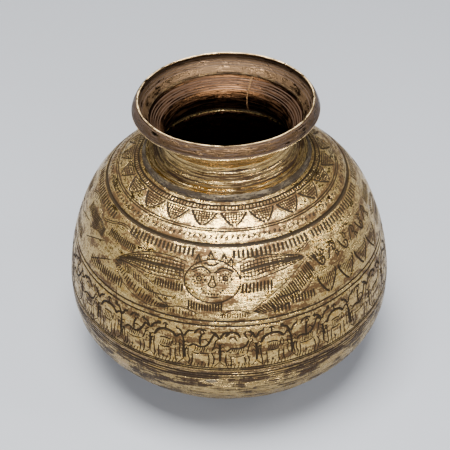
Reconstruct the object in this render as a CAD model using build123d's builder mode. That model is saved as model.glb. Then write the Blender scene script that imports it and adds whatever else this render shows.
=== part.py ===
from build123d import *
import os
from math import asin, acos, cos, degrees, pi, radians, sin, sqrt

# Lota: a round brass water pot with a short flared neck and a turned-in mouth rim.
# Millimetres, +Z up. Z is the pot's axis, and the origin is the middle of the standing
# ring, on the surface that the pot stands on.

# Body outline: four tangent arcs, from the base up to the neck
belly_r = 82.5            # widest radius
belly_height = 41.0       # widest ring above the floor
body_wall = 1.6
flank_arc_r = 112.0       # long arc above the widest ring
flank_turn = 25.0         # degrees of that arc
haunch_arc_r = 25.0       # tight arc below the widest ring
haunch_turn = 33.0        # degrees of that arc
base_slope = 9.5          # degrees at which the underside meets the standing ring
neck_slope = 16.5         # degrees of the shoulder where the neck foot sits on it

# Standing ring, with the middle of the base pushed up inside it
base_ring_width = 7.0
base_dish_rise = 1.2

# Girth joint: the lower bowl's edge is set in and laps up inside the upper bowl
seam_rise = 8.0           # joint above the widest ring
seam_gap = 1.0            # brazing metal that shows between the two edges
seam_lap = 5.0
seam_film = 0.25          # brazing metal in the lap
joggle_length = 3.0       # stretch over which the wall steps inwards

# Neck, rolled from a strip and brazed along its own joint
throat_r = 29.3           # narrowest bore
collar_wall = 1.8
foot_flare_r = 7.85       # outer radius of the flare down to the shoulder
throat_flare_r = 3.0      # outer radius of the flare up to the funnel
throat_length = 0.8       # straight stretch between the two flares
funnel_turn = 46.0        # degrees of the funnel from upright
foot_edge = 2.0           # thickness at the edge of the foot
lap_azimuth = 69.0        # where the strip's ends meet
lap_width = 0.8
solder_film = 0.3         # under the foot
solder_reach = 4.5        # how far in under the foot it runs
solder_bead_r = 2.0       # bead around the edge of the foot

# Mouth rim: a channel that lies in the funnel and stands up around the mouth
rim_r = 44.1              # widest radius of the rim
rim_wall = 1.2
rim_flange_r = 37.5       # inner edge of the flange
rim_fold_r = 42.4         # where the flange turns up
rim_drop = 0.6            # the fold hangs this far over the funnel's edge
lip_r = 41.5              # outer radius of the lip
lip_rise = 5.8            # lip above the rim's widest ring
rim_bulge = 0.35          # outward bow of the turned-in band
rim_set = 0.3             # how far the inner corners of fold and lip are set back
lip_round = 0.48          # rounding of the lip's two corners
rim_bead_r = 1.1          # brazing bead along the edge of the flange

# Turned lines: distance along the wall, then the radius of the round-bottomed cut
shoulder_lines = [(1.6, 0.35), (13.2, 0.3), (14.3, 0.3), (20.4, 0.75)]   # down from the neck foot
belly_lines = [(25.3, 0.45), (27.7, 0.45)]                               # up from the girth joint
girth_lines = [-2.0, 2.0]                                                # either side of the joint
girth_line_r = 0.35
base_lines = [4.5, 7.0]                                                  # out from the standing ring
base_line_r = 0.3
foot_lines = [0.25, 0.5, 0.75]                                           # shares of the foot flare
foot_line_r = 0.2

# Solder repair: an old hole in the lower bowl, filled from inside to outside
repair_azimuth = -96.6
repair_rise = 2.0         # its middle above the widest ring
repair_width = 10.5
repair_height = 3.6
repair_proud = 0.15       # solder standing proud of the outside
repair_inside = 0.4       # and of the inside
repair_bore = 6.4         # length of the tool that cuts the hole, enough to pass the wall


def polar(centre, radius, angle):
    """The point at an angle in degrees on a circle."""
    return (centre[0] + radius * cos(radians(angle)), centre[1] + radius * sin(radians(angle)))


# Worked out from the sizes above
throat_outer_r = throat_r + collar_wall
foot_r = throat_outer_r + foot_flare_r
top_angle = 90 - neck_slope
base_angle = 90 - base_slope
flank_centre = (belly_r - flank_arc_r, belly_height)
flank_end_r = flank_centre[0] + flank_arc_r * cos(radians(flank_turn))
shoulder_arc_r = (flank_end_r - foot_r) / (cos(radians(flank_turn)) - cos(radians(top_angle)))
shoulder_centre = polar(flank_centre, flank_arc_r - shoulder_arc_r, flank_turn)
haunch_centre = (belly_r - haunch_arc_r, belly_height)
haunch_drop = haunch_arc_r * sin(radians(haunch_turn))
under_arc_r = (belly_height - haunch_drop) / (sin(radians(base_angle)) - sin(radians(haunch_turn)))
under_centre = polar(haunch_centre, haunch_arc_r - under_arc_r, -haunch_turn)
body_arcs = [
    (under_centre, under_arc_r, -90.0, -haunch_turn),
    (haunch_centre, haunch_arc_r, -haunch_turn, 0.0),
    (flank_centre, flank_arc_r, 0.0, flank_turn),
    (shoulder_centre, shoulder_arc_r, flank_turn, 90.0),
]
seam_angle = degrees(asin(seam_rise / flank_arc_r))
flank_step = 180 / (pi * flank_arc_r)          # degrees of the flank arc in one millimetre
shoulder_step = 180 / (pi * shoulder_arc_r)
under_step = 180 / (pi * under_arc_r)
seam_low = seam_angle - seam_gap / 2 * flank_step
seam_high = seam_angle + seam_gap / 2 * flank_step
lap_angle = degrees(lap_width / throat_outer_r)
funnel_angle = 90 - funnel_turn                # degrees of the funnel from level


def wall_point(inset, angle):
    """The point of the body wall where its normal has this angle, set in from the outside."""
    for centre, radius, start, end in body_arcs:
        if start <= angle <= end:
            return polar(centre, radius - inset, angle)


def wall_line(inset, start, end):
    """The arcs of the wall between two angles, set in from the outside."""
    edges = []
    for centre, radius, first, last in body_arcs:
        low = max(first, start)
        high = min(last, end)
        if high > low:
            edges.append(Edge.make_circle(radius - inset, Plane(origin=(*centre, 0)), low, high))
    return edges


def band(outer_inset, inner_inset, start, end):
    """The face between two insets of the wall, from one angle to another."""
    with BuildSketch() as face:
        with BuildLine():
            add(wall_line(outer_inset, start, end))
            add(wall_line(inner_inset, start, end))
            Line(wall_point(outer_inset, start), wall_point(inner_inset, start))
            Line(wall_point(outer_inset, end), wall_point(inner_inset, end))
        make_face()
    return face.sketch


def angle_at_height(inset, height):
    """The angle on the underside where the wall, set in, has this height."""
    return degrees(asin((height - under_centre[1]) / (under_arc_r - inset)))


def shoulder_angle(radius):
    """The angle on the shoulder where its outside has this radius."""
    return degrees(acos((radius - shoulder_centre[0]) / shoulder_arc_r))


def radial_plane(azimuth):
    """An upright plane through the axis, its X pointing out at an azimuth."""
    out = (cos(radians(azimuth)), sin(radians(azimuth)), 0)
    side = (sin(radians(azimuth)), -cos(radians(azimuth)), 0)
    return Plane(origin=(0, 0, 0), x_dir=out, z_dir=side)


def base_plate():
    """The bottom of the lower bowl, from the axis to the underside arc."""
    outer_angle = angle_at_height(0, 0)
    inner_angle = angle_at_height(body_wall, body_wall)
    outer_corner = wall_point(0, outer_angle)
    inner_corner = wall_point(body_wall, inner_angle)
    dish_r = outer_corner[0] - base_ring_width
    with BuildSketch() as face:
        with BuildLine():
            Line(outer_corner, (dish_r, 0))
            TangentArc((0, base_dish_rise), (dish_r, 0), tangent=(1, 0))
            Line((0, base_dish_rise), (0, base_dish_rise + body_wall))
            TangentArc((0, base_dish_rise + body_wall), (dish_r, body_wall), tangent=(1, 0))
            Line((dish_r, body_wall), inner_corner)
            add(wall_line(body_wall, inner_angle, seam_low))
            Line(wall_point(body_wall, seam_low), wall_point(0, seam_low))
            add(wall_line(0, outer_angle, seam_low))
        make_face()
    return face.sketch


# Neck positions, worked up from the shoulder under the foot's edge
foot_low = shoulder_centre[1] + sqrt((shoulder_arc_r + solder_film) ** 2 - (foot_r - shoulder_centre[0]) ** 2)
throat_height = foot_low + foot_edge + foot_flare_r
foot_centre = (foot_r, throat_height)
throat_centre = (throat_outer_r + throat_flare_r, throat_height + throat_length)
funnel_start = polar(throat_centre, throat_flare_r + collar_wall, 180 - funnel_turn)
funnel_start_outer = polar(throat_centre, throat_flare_r, 180 - funnel_turn)


def funnel_point(radius):
    """The point of the funnel's inside that has this radius."""
    run = (radius - funnel_start[0]) / cos(radians(funnel_angle))
    return polar(funnel_start, run, funnel_angle)


rim_fold = funnel_point(rim_fold_r)
collar_end_outer = polar(rim_fold, collar_wall, funnel_angle - 90)
rim_low = (rim_r, rim_fold[1] - rim_drop)
lip_top = (lip_r, rim_low[1] + lip_rise)


def collar_face():
    """Half section of the neck: foot flare, throat and funnel, cut to sit on the shoulder."""
    foot_bottom = (foot_r, throat_height - foot_flare_r - collar_wall)
    with BuildSketch() as face:
        with BuildLine():
            CenterArc(foot_centre, foot_flare_r, 180, 90)
            Line((foot_r, throat_height - foot_flare_r), foot_bottom)
            CenterArc(foot_centre, foot_flare_r + collar_wall, 180, 90)
            Line((throat_r, foot_centre[1]), (throat_r, throat_centre[1]))
            CenterArc(throat_centre, throat_flare_r + collar_wall, 180, -funnel_turn)
            Line(funnel_start, rim_fold)
            Line(rim_fold, collar_end_outer)
            Line(collar_end_outer, funnel_start_outer)
            CenterArc(throat_centre, throat_flare_r, 180, -funnel_turn)
            Line((throat_outer_r, throat_centre[1]), (throat_outer_r, foot_centre[1]))
        make_face()
        with Locations(shoulder_centre):
            Circle(shoulder_arc_r + solder_film, mode=Mode.SUBTRACT)
        with Locations(*[polar(foot_centre, foot_flare_r, 180 + 90 * share) for share in foot_lines]):
            Circle(foot_line_r, mode=Mode.SUBTRACT)
    return face.sketch


def rim_face():
    """Half section of the mouth rim: flange, fold and turned-in band."""
    flange_edge = funnel_point(rim_flange_r)
    flange_top = polar(flange_edge, rim_wall, funnel_angle + 90)
    fold_inside = polar(polar(rim_fold, rim_wall, funnel_angle + 90), rim_set, funnel_angle)
    lip_inside = (lip_top[0] - rim_wall, lip_top[1] - rim_set)
    with BuildSketch() as face:
        with BuildLine():
            Line(flange_edge, rim_fold)
            Line(rim_fold, rim_low)
            SagittaArc(rim_low, lip_top, -rim_bulge)
            Line(lip_top, lip_inside)
            SagittaArc(fold_inside, lip_inside, -rim_bulge)
            Line(fold_inside, flange_top)
            Line(flange_top, flange_edge)
        make_face()
        lip_corners = face.vertices().sort_by(Axis.Y)[-2:]
        fillet(lip_corners, radius=lip_round)
    return face.sketch


# Tool for the hole that the repair fills
repair_plane = Plane(
    origin=(0, 0, belly_height + repair_rise),
    x_dir=(-sin(radians(repair_azimuth)), cos(radians(repair_azimuth)), 0),
    z_dir=(cos(radians(repair_azimuth)), sin(radians(repair_azimuth)), 0),
)
with BuildPart() as repair_hole:
    with BuildSketch(repair_plane.offset(belly_r + body_wall - repair_bore)):
        Ellipse(repair_width / 2, repair_height / 2)
    extrude(amount=repair_bore)

with BuildPart() as lower_bowl:
    with BuildSketch(Plane.XZ):
        add(base_plate())
        add(band(0, 2 * body_wall + seam_film, seam_low - joggle_length * flank_step, seam_low))
        add(band(body_wall + seam_film, 2 * body_wall + seam_film, seam_low, seam_high + seam_lap * flank_step))
    revolve(axis=Axis.Z)
    turned = [wall_point(0, angle_at_height(0, 0) + distance * under_step) for distance in base_lines]
    with BuildSketch(Plane.XZ):
        with Locations(*turned):
            Circle(base_line_r)
        with Locations(wall_point(0, seam_angle + girth_lines[0] * flank_step)):
            Circle(girth_line_r)
    revolve(axis=Axis.Z, mode=Mode.SUBTRACT)
    add(repair_hole.part, mode=Mode.SUBTRACT)
lower_bowl.part.label = "lower_bowl"

opening_angle = shoulder_angle(foot_r - solder_reach - body_wall / 2)
with BuildPart() as upper_bowl:
    with BuildSketch(Plane.XZ):
        add(band(0, body_wall, seam_high, opening_angle))
    revolve(axis=Axis.Z)
    with BuildSketch(Plane.XZ):
        for distance, cut_r in shoulder_lines:
            with Locations(wall_point(0, shoulder_angle(foot_r + solder_bead_r) - distance * shoulder_step)):
                Circle(cut_r)
        for distance, cut_r in belly_lines:
            with Locations(wall_point(0, seam_angle + distance * flank_step)):
                Circle(cut_r)
        with Locations(wall_point(0, seam_angle + girth_lines[1] * flank_step)):
            Circle(girth_line_r)
    revolve(axis=Axis.Z, mode=Mode.SUBTRACT)
upper_bowl.part.label = "upper_bowl"

with BuildPart() as girth_braze:
    with BuildSketch(Plane.XZ):
        add(band(0, body_wall + seam_film, seam_low, seam_high))
        add(band(body_wall, body_wall + seam_film, seam_high, seam_high + seam_lap * flank_step))
    revolve(axis=Axis.Z)
girth_braze.part.label = "girth_braze"

with BuildPart() as neck_collar:
    with BuildSketch(radial_plane(lap_azimuth + lap_angle / 2)):
        add(collar_face())
    revolve(axis=Axis.Z, revolution_arc=360 - lap_angle)
neck_collar.part.label = "neck_collar"

with BuildPart() as neck_lap_braze:
    with BuildSketch(radial_plane(lap_azimuth - lap_angle / 2)):
        add(collar_face())
    revolve(axis=Axis.Z, revolution_arc=lap_angle)
neck_lap_braze.part.label = "neck_lap_braze"

with BuildPart() as neck_solder:
    with BuildSketch(Plane.XZ):
        with Locations((foot_r, foot_low)):
            Circle(solder_bead_r)
        add(band(-solder_film, 0, shoulder_angle(foot_r), shoulder_angle(foot_r - solder_reach)))
        with Locations(shoulder_centre):
            Circle(shoulder_arc_r, mode=Mode.SUBTRACT)
        add(collar_face(), mode=Mode.SUBTRACT)
    revolve(axis=Axis.Z)
neck_solder.part.label = "neck_solder"

with BuildPart() as mouth_rim:
    with BuildSketch(Plane.XZ):
        add(rim_face())
    revolve(axis=Axis.Z)
mouth_rim.part.label = "mouth_rim"

with BuildPart() as rim_braze:
    with BuildSketch(Plane.XZ):
        with Locations(funnel_point(rim_flange_r)):
            Circle(rim_bead_r)
        add(rim_face(), mode=Mode.SUBTRACT)
        add(collar_face(), mode=Mode.SUBTRACT)
    revolve(axis=Axis.Z)
rim_braze.part.label = "rim_braze"

# The solder is the hole's shape, kept between two insets of the wall
repair_span = 4 * repair_height * flank_step
with BuildPart() as repair_solder:
    add(repair_hole.part)
    with BuildSketch(Plane.XZ):
        add(band(-repair_proud, body_wall + repair_inside, -repair_span, repair_span))
    revolve(axis=Axis.Z, mode=Mode.INTERSECT)
repair_solder.part.label = "repair_solder"

pieces = [
    lower_bowl,
    upper_bowl,
    girth_braze,
    neck_collar,
    neck_lap_braze,
    neck_solder,
    mouth_rim,
    rim_braze,
    repair_solder,
]
os.makedirs("parts", exist_ok=True)
for piece in pieces:
    export_step(piece.part, f"parts/{piece.part.label}.step")

print("shoulder arc", round(shoulder_arc_r, 2), "under arc", round(under_arc_r, 2))
print("standing ring radius", round(wall_point(0, angle_at_height(0, 0))[0], 2))
print("foot", round(foot_r, 2), round(foot_low, 2), "throat height", round(throat_height, 2))
print("rim fold", [round(v, 2) for v in rim_fold], "lip", [round(v, 2) for v in lip_top])
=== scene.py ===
import bpy
import math
import random
import numpy as np
from mathutils import Matrix, Vector, kdtree
from mathutils.geometry import delaunay_2d_cdt


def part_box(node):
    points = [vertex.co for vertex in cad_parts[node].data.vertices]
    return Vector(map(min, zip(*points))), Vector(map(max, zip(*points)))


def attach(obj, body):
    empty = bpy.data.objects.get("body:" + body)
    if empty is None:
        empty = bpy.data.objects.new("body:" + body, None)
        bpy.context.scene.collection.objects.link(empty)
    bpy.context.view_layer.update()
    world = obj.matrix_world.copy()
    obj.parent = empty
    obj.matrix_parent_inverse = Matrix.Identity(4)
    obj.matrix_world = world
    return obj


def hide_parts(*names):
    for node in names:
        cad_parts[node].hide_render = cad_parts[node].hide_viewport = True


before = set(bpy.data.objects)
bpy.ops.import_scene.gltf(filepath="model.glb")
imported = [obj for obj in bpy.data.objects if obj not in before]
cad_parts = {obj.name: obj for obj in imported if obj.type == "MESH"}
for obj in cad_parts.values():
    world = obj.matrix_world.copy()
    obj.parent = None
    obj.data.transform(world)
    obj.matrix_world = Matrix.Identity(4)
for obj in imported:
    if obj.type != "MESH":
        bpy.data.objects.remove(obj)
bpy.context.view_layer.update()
mm = 0.001


# outlines: points (radius, height) in millimetres, with the metal on the left of the way they run
def polar(centre, radius, angle):
    turn = math.radians(angle)
    return (centre[0] + radius * math.cos(turn), centre[1] + radius * math.sin(turn))


def between(start, end, share):
    return tuple(a + (b - a) * share for a, b in zip(start, end))


def arc(centre, radius, start, end, step=0.5):
    count = max(3, round(abs(math.radians(end - start)) * radius / step))
    return [polar(centre, radius, start + (end - start) * i / count) for i in range(count + 1)]


def straight(start, end):
    count = max(1, round(math.dist(start, end) / 0.5))
    return [tuple(a + (b - a) * i / count for a, b in zip(start, end)) for i in range(count + 1)]


def bowed(start, end, rise, step=0.5):
    # an arc between two points that stands off their chord by rise, to the right of the way it runs
    half = math.dist(start, end) / 2
    radius = (half ** 2 + rise ** 2) / (2 * rise)
    along = math.atan2(end[1] - start[1], end[0] - start[0])
    middle = ((start[0] + end[0]) / 2, (start[1] + end[1]) / 2)
    centre = polar(middle, radius - rise, math.degrees(along) + 90)
    first = math.degrees(math.atan2(start[1] - centre[1], start[0] - centre[0]))
    spread = math.degrees(2 * math.asin(half / radius))
    return arc(centre, radius, first, first + spread, step)


class Outline:
    # a closed run of stretches; every join between two stretches keeps a row of points
    def __init__(self, stretches):
        points = [stretches[0][0][0]]
        self.rows = [0.0]
        self.joins = [0.0]
        run = 0.0
        self.runs = [0.0]
        for way, rowStep in stretches:
            startRun = run
            for point in way[1:]:
                run += math.dist(points[-1], point)
                points.append(point)
                self.runs.append(run)
            count = max(1, round((run - startRun) / rowStep))
            self.rows += [startRun + (run - startRun) * i / count for i in range(1, count + 1)]
            self.joins.append(run)
        self.points = points
        self.length = run
        self.radii = [point[0] for point in points]

    def radius(self, run):
        return max(1.0, float(np.interp(run, self.runs, self.radii)))

    def curve(self, name):
        data = bpy.data.curves.new(name, "CURVE")
        data.dimensions = "3D"
        spline = data.splines.new("POLY")
        spline.points.add(len(self.points) - 1)
        flat = [value for r, z in self.points for value in (r * mm, 0, z * mm, 1)]
        spline.points.foreach_set("co", flat)
        piece = bpy.data.objects.new(name, data)
        bpy.context.scene.collection.objects.link(piece)
        return piece


# cuts: lines and punch marks in the flat sheet, in degrees round and millimetres up the wall
def smoothed(points, count=6):
    # a curve through a few points, count steps to each stretch
    padded = [points[0]] + list(points) + [points[-1]]
    way = []
    for i in range(1, len(padded) - 2):
        for k in range(count):
            t = k / count
            way.append(tuple(
                0.5 * (2 * b + (c - a) * t + (2 * a - 5 * b + 4 * c - d) * t * t
                       + (3 * b - a - 3 * c + d) * t ** 3)
                for a, b, c, d in zip(*padded[i - 1:i + 3])))
    return way + [points[-1]]


lineWeight = 1.3            # how heavy the engraver's hand is
thinnest = 1e-4             # millimetres; a narrower cut is no cut


def cutLine(work, points, width=0.5, depth=0.22, ends="pointed"):
    if len(points) == 2:
        points = [points[0], between(*points, 0.16), between(*points, 0.84), points[1]]
    halves = [width / 2 * lineWeight] * len(points)
    if ends == "pointed":
        halves[0] = 0.0
        halves[-1] = 0.0
    work.append((points, halves, depth))


def cutLines(work, ways, width=0.5, depth=0.22):
    for way in ways:
        cutLine(work, way, width, depth)


def cutCurve(work, points, width=0.5, depth=0.22):
    cutLine(work, smoothed(points, 4), width, depth)


def punch(work, angle, level, size=0.7, depth=0.22):
    work.append(((angle, level), size / 2, depth))


def ringLine(work, level, width, depth, wobble=0.0, turn=180, steps=60):
    points = []
    for i in range(steps + 1):
        lean = sum(share * math.sin(2 * math.pi * wave * i / steps) for wave, share in ((3, 0.6), (7, 0.4)))
        points.append((turn * i / steps, level + wobble * lean))
    cutLine(work, points, width, depth, ends="open")


def ringLines(work, start, lines, wobble, turn=180, steps=60):
    # lines: run from the start, width and depth
    for up, width, depth in lines:
        ringLine(work, start + up, width, depth, wobble, turn, steps)


def punchRow(seed, turn, count, start, levels, sizes, depth):
    # uneven metal: punches side by side all the way round
    work = []
    dice = random.Random(seed)
    for i in range(count):
        angle = 1 + i * (turn - 2) / count
        level = start + dice.uniform(*levels)
        size = dice.uniform(*sizes)
        punch(work, angle, level, size, depth if isinstance(depth, float) else dice.uniform(*depth))
    return work


# the flat sheet: x is the angle in radians, y the run in metres, z the lift off the wall
sheetLook = {
    "darkSpread": 1.3,       # how wide the dirt lies in a cut, against the cut
    "grimeGain": 2.2,
    "giveFade": 4.0,         # millimetres from an edge over which dents grow
    "reachSpare": 0.02,
}


def cutDepths(flat, segments, dots, outline, scale):
    # depth below the wall and darkness of each point, from every cut that reaches it
    tree = kdtree.KDTree(len(flat))
    for i, point in enumerate(flat):
        tree.insert((point[0], point[1], 0), i)
    tree.balance()
    depth = np.zeros(len(flat))
    dark = np.zeros(len(flat))
    spread, spare = sheetLook["darkSpread"], sheetLook["reachSpare"]
    for a, b, wa, wb, deep, full in segments:
        middle = ((a[0] + b[0]) / 2, (a[1] + b[1]) / 2, 0)
        squeeze = outline.radius(middle[1]) / scale
        reach = math.dist(a, b) / 2 + max(wa, wb) / min(1.0, squeeze) + spare
        across = ((b[0] - a[0]) * squeeze, b[1] - a[1])
        length = across[0] ** 2 + across[1] ** 2
        if length < 1e-9:
            continue
        for _, i, _ in tree.find_range(middle, reach):
            dx = (flat[i][0] - a[0]) * squeeze
            dy = flat[i][1] - a[1]
            t = min(1.0, max(0.0, (dx * across[0] + dy * across[1]) / length))
            half = wa + (wb - wa) * t
            if half < thinnest:
                continue
            share = 1 - math.hypot(dx - across[0] * t, dy - across[1] * t) / half
            if share > 1e-3:
                depth[i] = max(depth[i], deep * share * (half / full) ** 0.6)
                dark[i] = max(dark[i], min(1.0, share * spread) * (half / full) ** 0.4)
    for (x, y), half, deep in dots:
        squeeze = outline.radius(y) / scale
        for _, i, _ in tree.find_range((x, y, 0), half / min(1.0, squeeze) + spare):
            share = 1 - math.hypot((flat[i][0] - x) * squeeze, flat[i][1] - y) / half
            if share > 1e-3:
                depth[i] = max(depth[i], deep * share)
                dark[i] = max(dark[i], min(1.0, share * spread))
    return depth, dark


def grimeField(flat, segments, dots, span):
    # how closely the cuts stand round each point, blurred over a few millimetres
    grid = np.zeros((int(span[0]) + 3, int(span[1]) + 3))
    for a, b, wa, wb, _, _ in segments:
        grid[int((a[0] + b[0]) / 2) + 1, int((a[1] + b[1]) / 2) + 1] += math.dist(a, b) * (wa + wb)
    for (x, y), half, _ in dots:
        grid[int(x) + 1, int(y) + 1] += 3 * half * half
    for _ in range(4):
        for axis in (0, 1):
            grid = (np.roll(grid, 1, axis) + 2 * grid + np.roll(grid, -1, axis)) / 4
    return np.array([grid[int(x) + 1, int(y) + 1] for x, y in flat])


def layCuts(cuts, base, scale, outline, points, edges):
    # adds the edges of every cut to the sheet's points, and lists the cuts for their depths
    segments = []
    dots = []
    for way, half, deep in cuts:
        if isinstance(half, float):
            x = math.radians(way[0]) * scale
            y = way[1] + base
            stretch = scale / outline.radius(y)
            start = len(points)
            points.append((x, y))
            points += [(x + half * stretch * math.cos(k * math.pi / 3), y + half * math.sin(k * math.pi / 3))
                       for k in range(6)]
            edges += [(start + 1 + k, start + 1 + (k + 1) % 6) for k in range(6)]
            edges += [(start, start + 1), (start, start + 3), (start, start + 5)]
            dots.append(((x, y), half, deep))
            continue
        line = [(math.radians(angle) * scale, level + base) for angle, level in way]
        full = max(half)
        before = None
        for i, (x, y) in enumerate(line):
            ahead = line[min(i + 1, len(line) - 1)]
            behind = line[max(i - 1, 0)]
            stretch = scale / outline.radius(y)
            dx = (ahead[0] - behind[0]) / stretch
            dy = ahead[1] - behind[1]
            size = math.hypot(dx, dy) or 1.0
            start = len(points)
            if half[i] < thinnest:
                points.append((x, y))
                here = (start, start, start)
            else:
                sideX = -dy / size * half[i] * stretch
                sideY = dx / size * half[i]
                points += [(x + sideX, y + sideY), (x, y), (x - sideX, y - sideY)]
                here = (start, start + 1, start + 2)
            if before:
                edges += zip(before, here)
                segments.append((line[i - 1], (x, y), half[i - 1], half[i], deep, full))
            before = here
    return segments, dots


def sheetObject(name, points, faces, values):
    # a mesh object with one number for each point and name
    mesh = bpy.data.meshes.new(name)
    mesh.from_pydata(points, [], faces)
    for key, data in values.items():
        layer = mesh.attributes.new(key, "FLOAT", "POINT")
        layer.data.foreach_set("value", np.asarray(data, np.float32))
    piece = bpy.data.objects.new(name, mesh)
    bpy.context.scene.collection.objects.link(piece)
    return piece


def flatSheet(name, outline, turn, cell, cuts=(), base=0.0, outerRun=None, giveStart=0.0, giveEnd=None,
              sway=None, capped=False, rubbedAndGlinting=()):
    # base is the run at level 0 of the cuts; cuts lie on the outer stretch of the outline
    scale = max(outline.radii)
    width = math.radians(turn) * scale
    columns = max(4, 2 * round(width / cell / 2))
    points = [(width * i / columns, row) for row in outline.rows for i in range(columns + 1)]
    edges = []
    borders = [((0.0, join), (width, join)) for join in outline.joins]
    borders += [((x, 0.0), (x, outline.length)) for x in (0.0, width)]
    for border in borders:
        edges.append((len(points), len(points) + 1))
        points += border
    segments, dots = layCuts(cuts, base, scale, outline, points, edges)
    points = [(min(width, max(0.0, x)), min(outline.length, max(0.0, y))) for x, y in points]
    found = delaunay_2d_cdt([Vector(point) for point in points], edges, [], 0, 1e-4, False)
    flat = [(point.x, point.y) for point in found[0]]
    depth, dark = cutDepths(flat, segments, dots, outline, scale)
    faces = []
    for face in found[2]:
        a, b, c = (flat[i] for i in face[:3])
        area = (b[0] - a[0]) * (c[1] - a[1]) - (c[0] - a[0]) * (b[1] - a[1])
        faces.append(list(face) if area > 0 else list(reversed(face)))
    if capped:
        for x, flip in ((0.0, False), (width, True)):
            column = [i for i, point in enumerate(flat) if abs(point[0] - x) < 1e-5]
            column = sorted(column, key=lambda i: flat[i][1])[:-1]
            faces.append(column[::-1] if flip else column)
    runs = np.array([point[1] for point in flat])
    giveEnd = outline.length if giveEnd is None else giveEnd
    # worn edges, which the finish paints pale as the highlights along them
    rubAndGlint = np.zeros(len(flat))
    for edge, reach in rubbedAndGlinting:
        rubAndGlint = np.maximum(rubAndGlint, np.clip(1 - np.abs(runs - edge) / reach, 0, 1))
    grime = grimeField(flat, segments, dots, (width, outline.length))
    return sheetObject(name, [(x / scale, y * mm, -d * mm) for (x, y), d in zip(flat, depth)], faces, {
        "cut": dark,
        "run": runs * mm,
        "give": np.clip(np.minimum(runs - giveStart, giveEnd - runs) / sheetLook["giveFade"], 0, 1),
        "inner": runs > (outerRun or outline.length) + 0.01,
        "sway": [sway(run) if sway else 0.0 for run in runs],
        "rubAndGlint": rubAndGlint,
        "grime": np.clip(grime * sheetLook["grimeGain"], 0, 1),
    })


# node helpers
def link(tree, value, socket):
    if isinstance(value, bpy.types.NodeSocket):
        tree.links.new(value, socket)
    else:
        socket.default_value = value


def calc(tree, operation, *terms):
    node = tree.nodes.new("ShaderNodeMath")
    node.operation = operation
    for socket, term in zip(node.inputs, terms):
        link(tree, term, socket)
    return node.outputs[0]


def combine(tree, x, y, z):
    node = tree.nodes.new("ShaderNodeCombineXYZ")
    for socket, term in zip(node.inputs, (x, y, z)):
        link(tree, term, socket)
    return node.outputs[0]


def split(tree, vector):
    node = tree.nodes.new("ShaderNodeSeparateXYZ")
    tree.links.new(vector, node.inputs[0])
    return node.outputs


def placed(tree, kind, values, **settings):
    # a node with some of its inputs linked or set
    node = tree.nodes.new(kind)
    for key, value in settings.items():
        setattr(node, key, value)
    for key, value in values.items():
        link(tree, value, node.inputs[key])
    return node.outputs


def noise(tree, vector, scale, detail=2.0, roughness=0.5):
    values = {"Vector": vector, "Scale": scale, "Detail": detail, "Roughness": roughness}
    return placed(tree, "ShaderNodeTexNoise", values)[0]


def ramp(tree, value, low, high, kind="LINEAR"):
    values = {"Value": value, "From Min": low, "From Max": high}
    return placed(tree, "ShaderNodeMapRange", values, interpolation_type=kind)[0]


def mark(tree, name):
    # a number that a sheet carries at each point
    return placed(tree, "ShaderNodeAttribute", {}, attribute_name=name)["Fac"]


def mixColour(tree, share, first, second):
    return placed(tree, "ShaderNodeMix", {0: share, 6: first, 7: second}, data_type="RGBA")[2]


socketKinds = {
    "Geometry": "NodeSocketGeometry",
    "Outline": "NodeSocketObject",
    "Copies": "NodeSocketInt",
    "Finish": "NodeSocketMaterial",
}


def newTree(name, kind, inputs, outputs):
    # plain numbers unless the socket's name says otherwise
    tree = bpy.data.node_groups.new(name, kind)
    for label, value in inputs.items():
        kindOfSocket = socketKinds.get(label, "NodeSocketFloat")
        socket = tree.interface.new_socket(name=label, in_out="INPUT", socket_type=kindOfSocket)
        if value is not None:
            socket.default_value = value
    for label in outputs:
        kindOfSocket = socketKinds.get(label, "NodeSocketFloat")
        tree.interface.new_socket(name=label, in_out="OUTPUT", socket_type=kindOfSocket)
    return tree, tree.nodes.new("NodeGroupInput").outputs, tree.nodes.new("NodeGroupOutput").inputs


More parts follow.
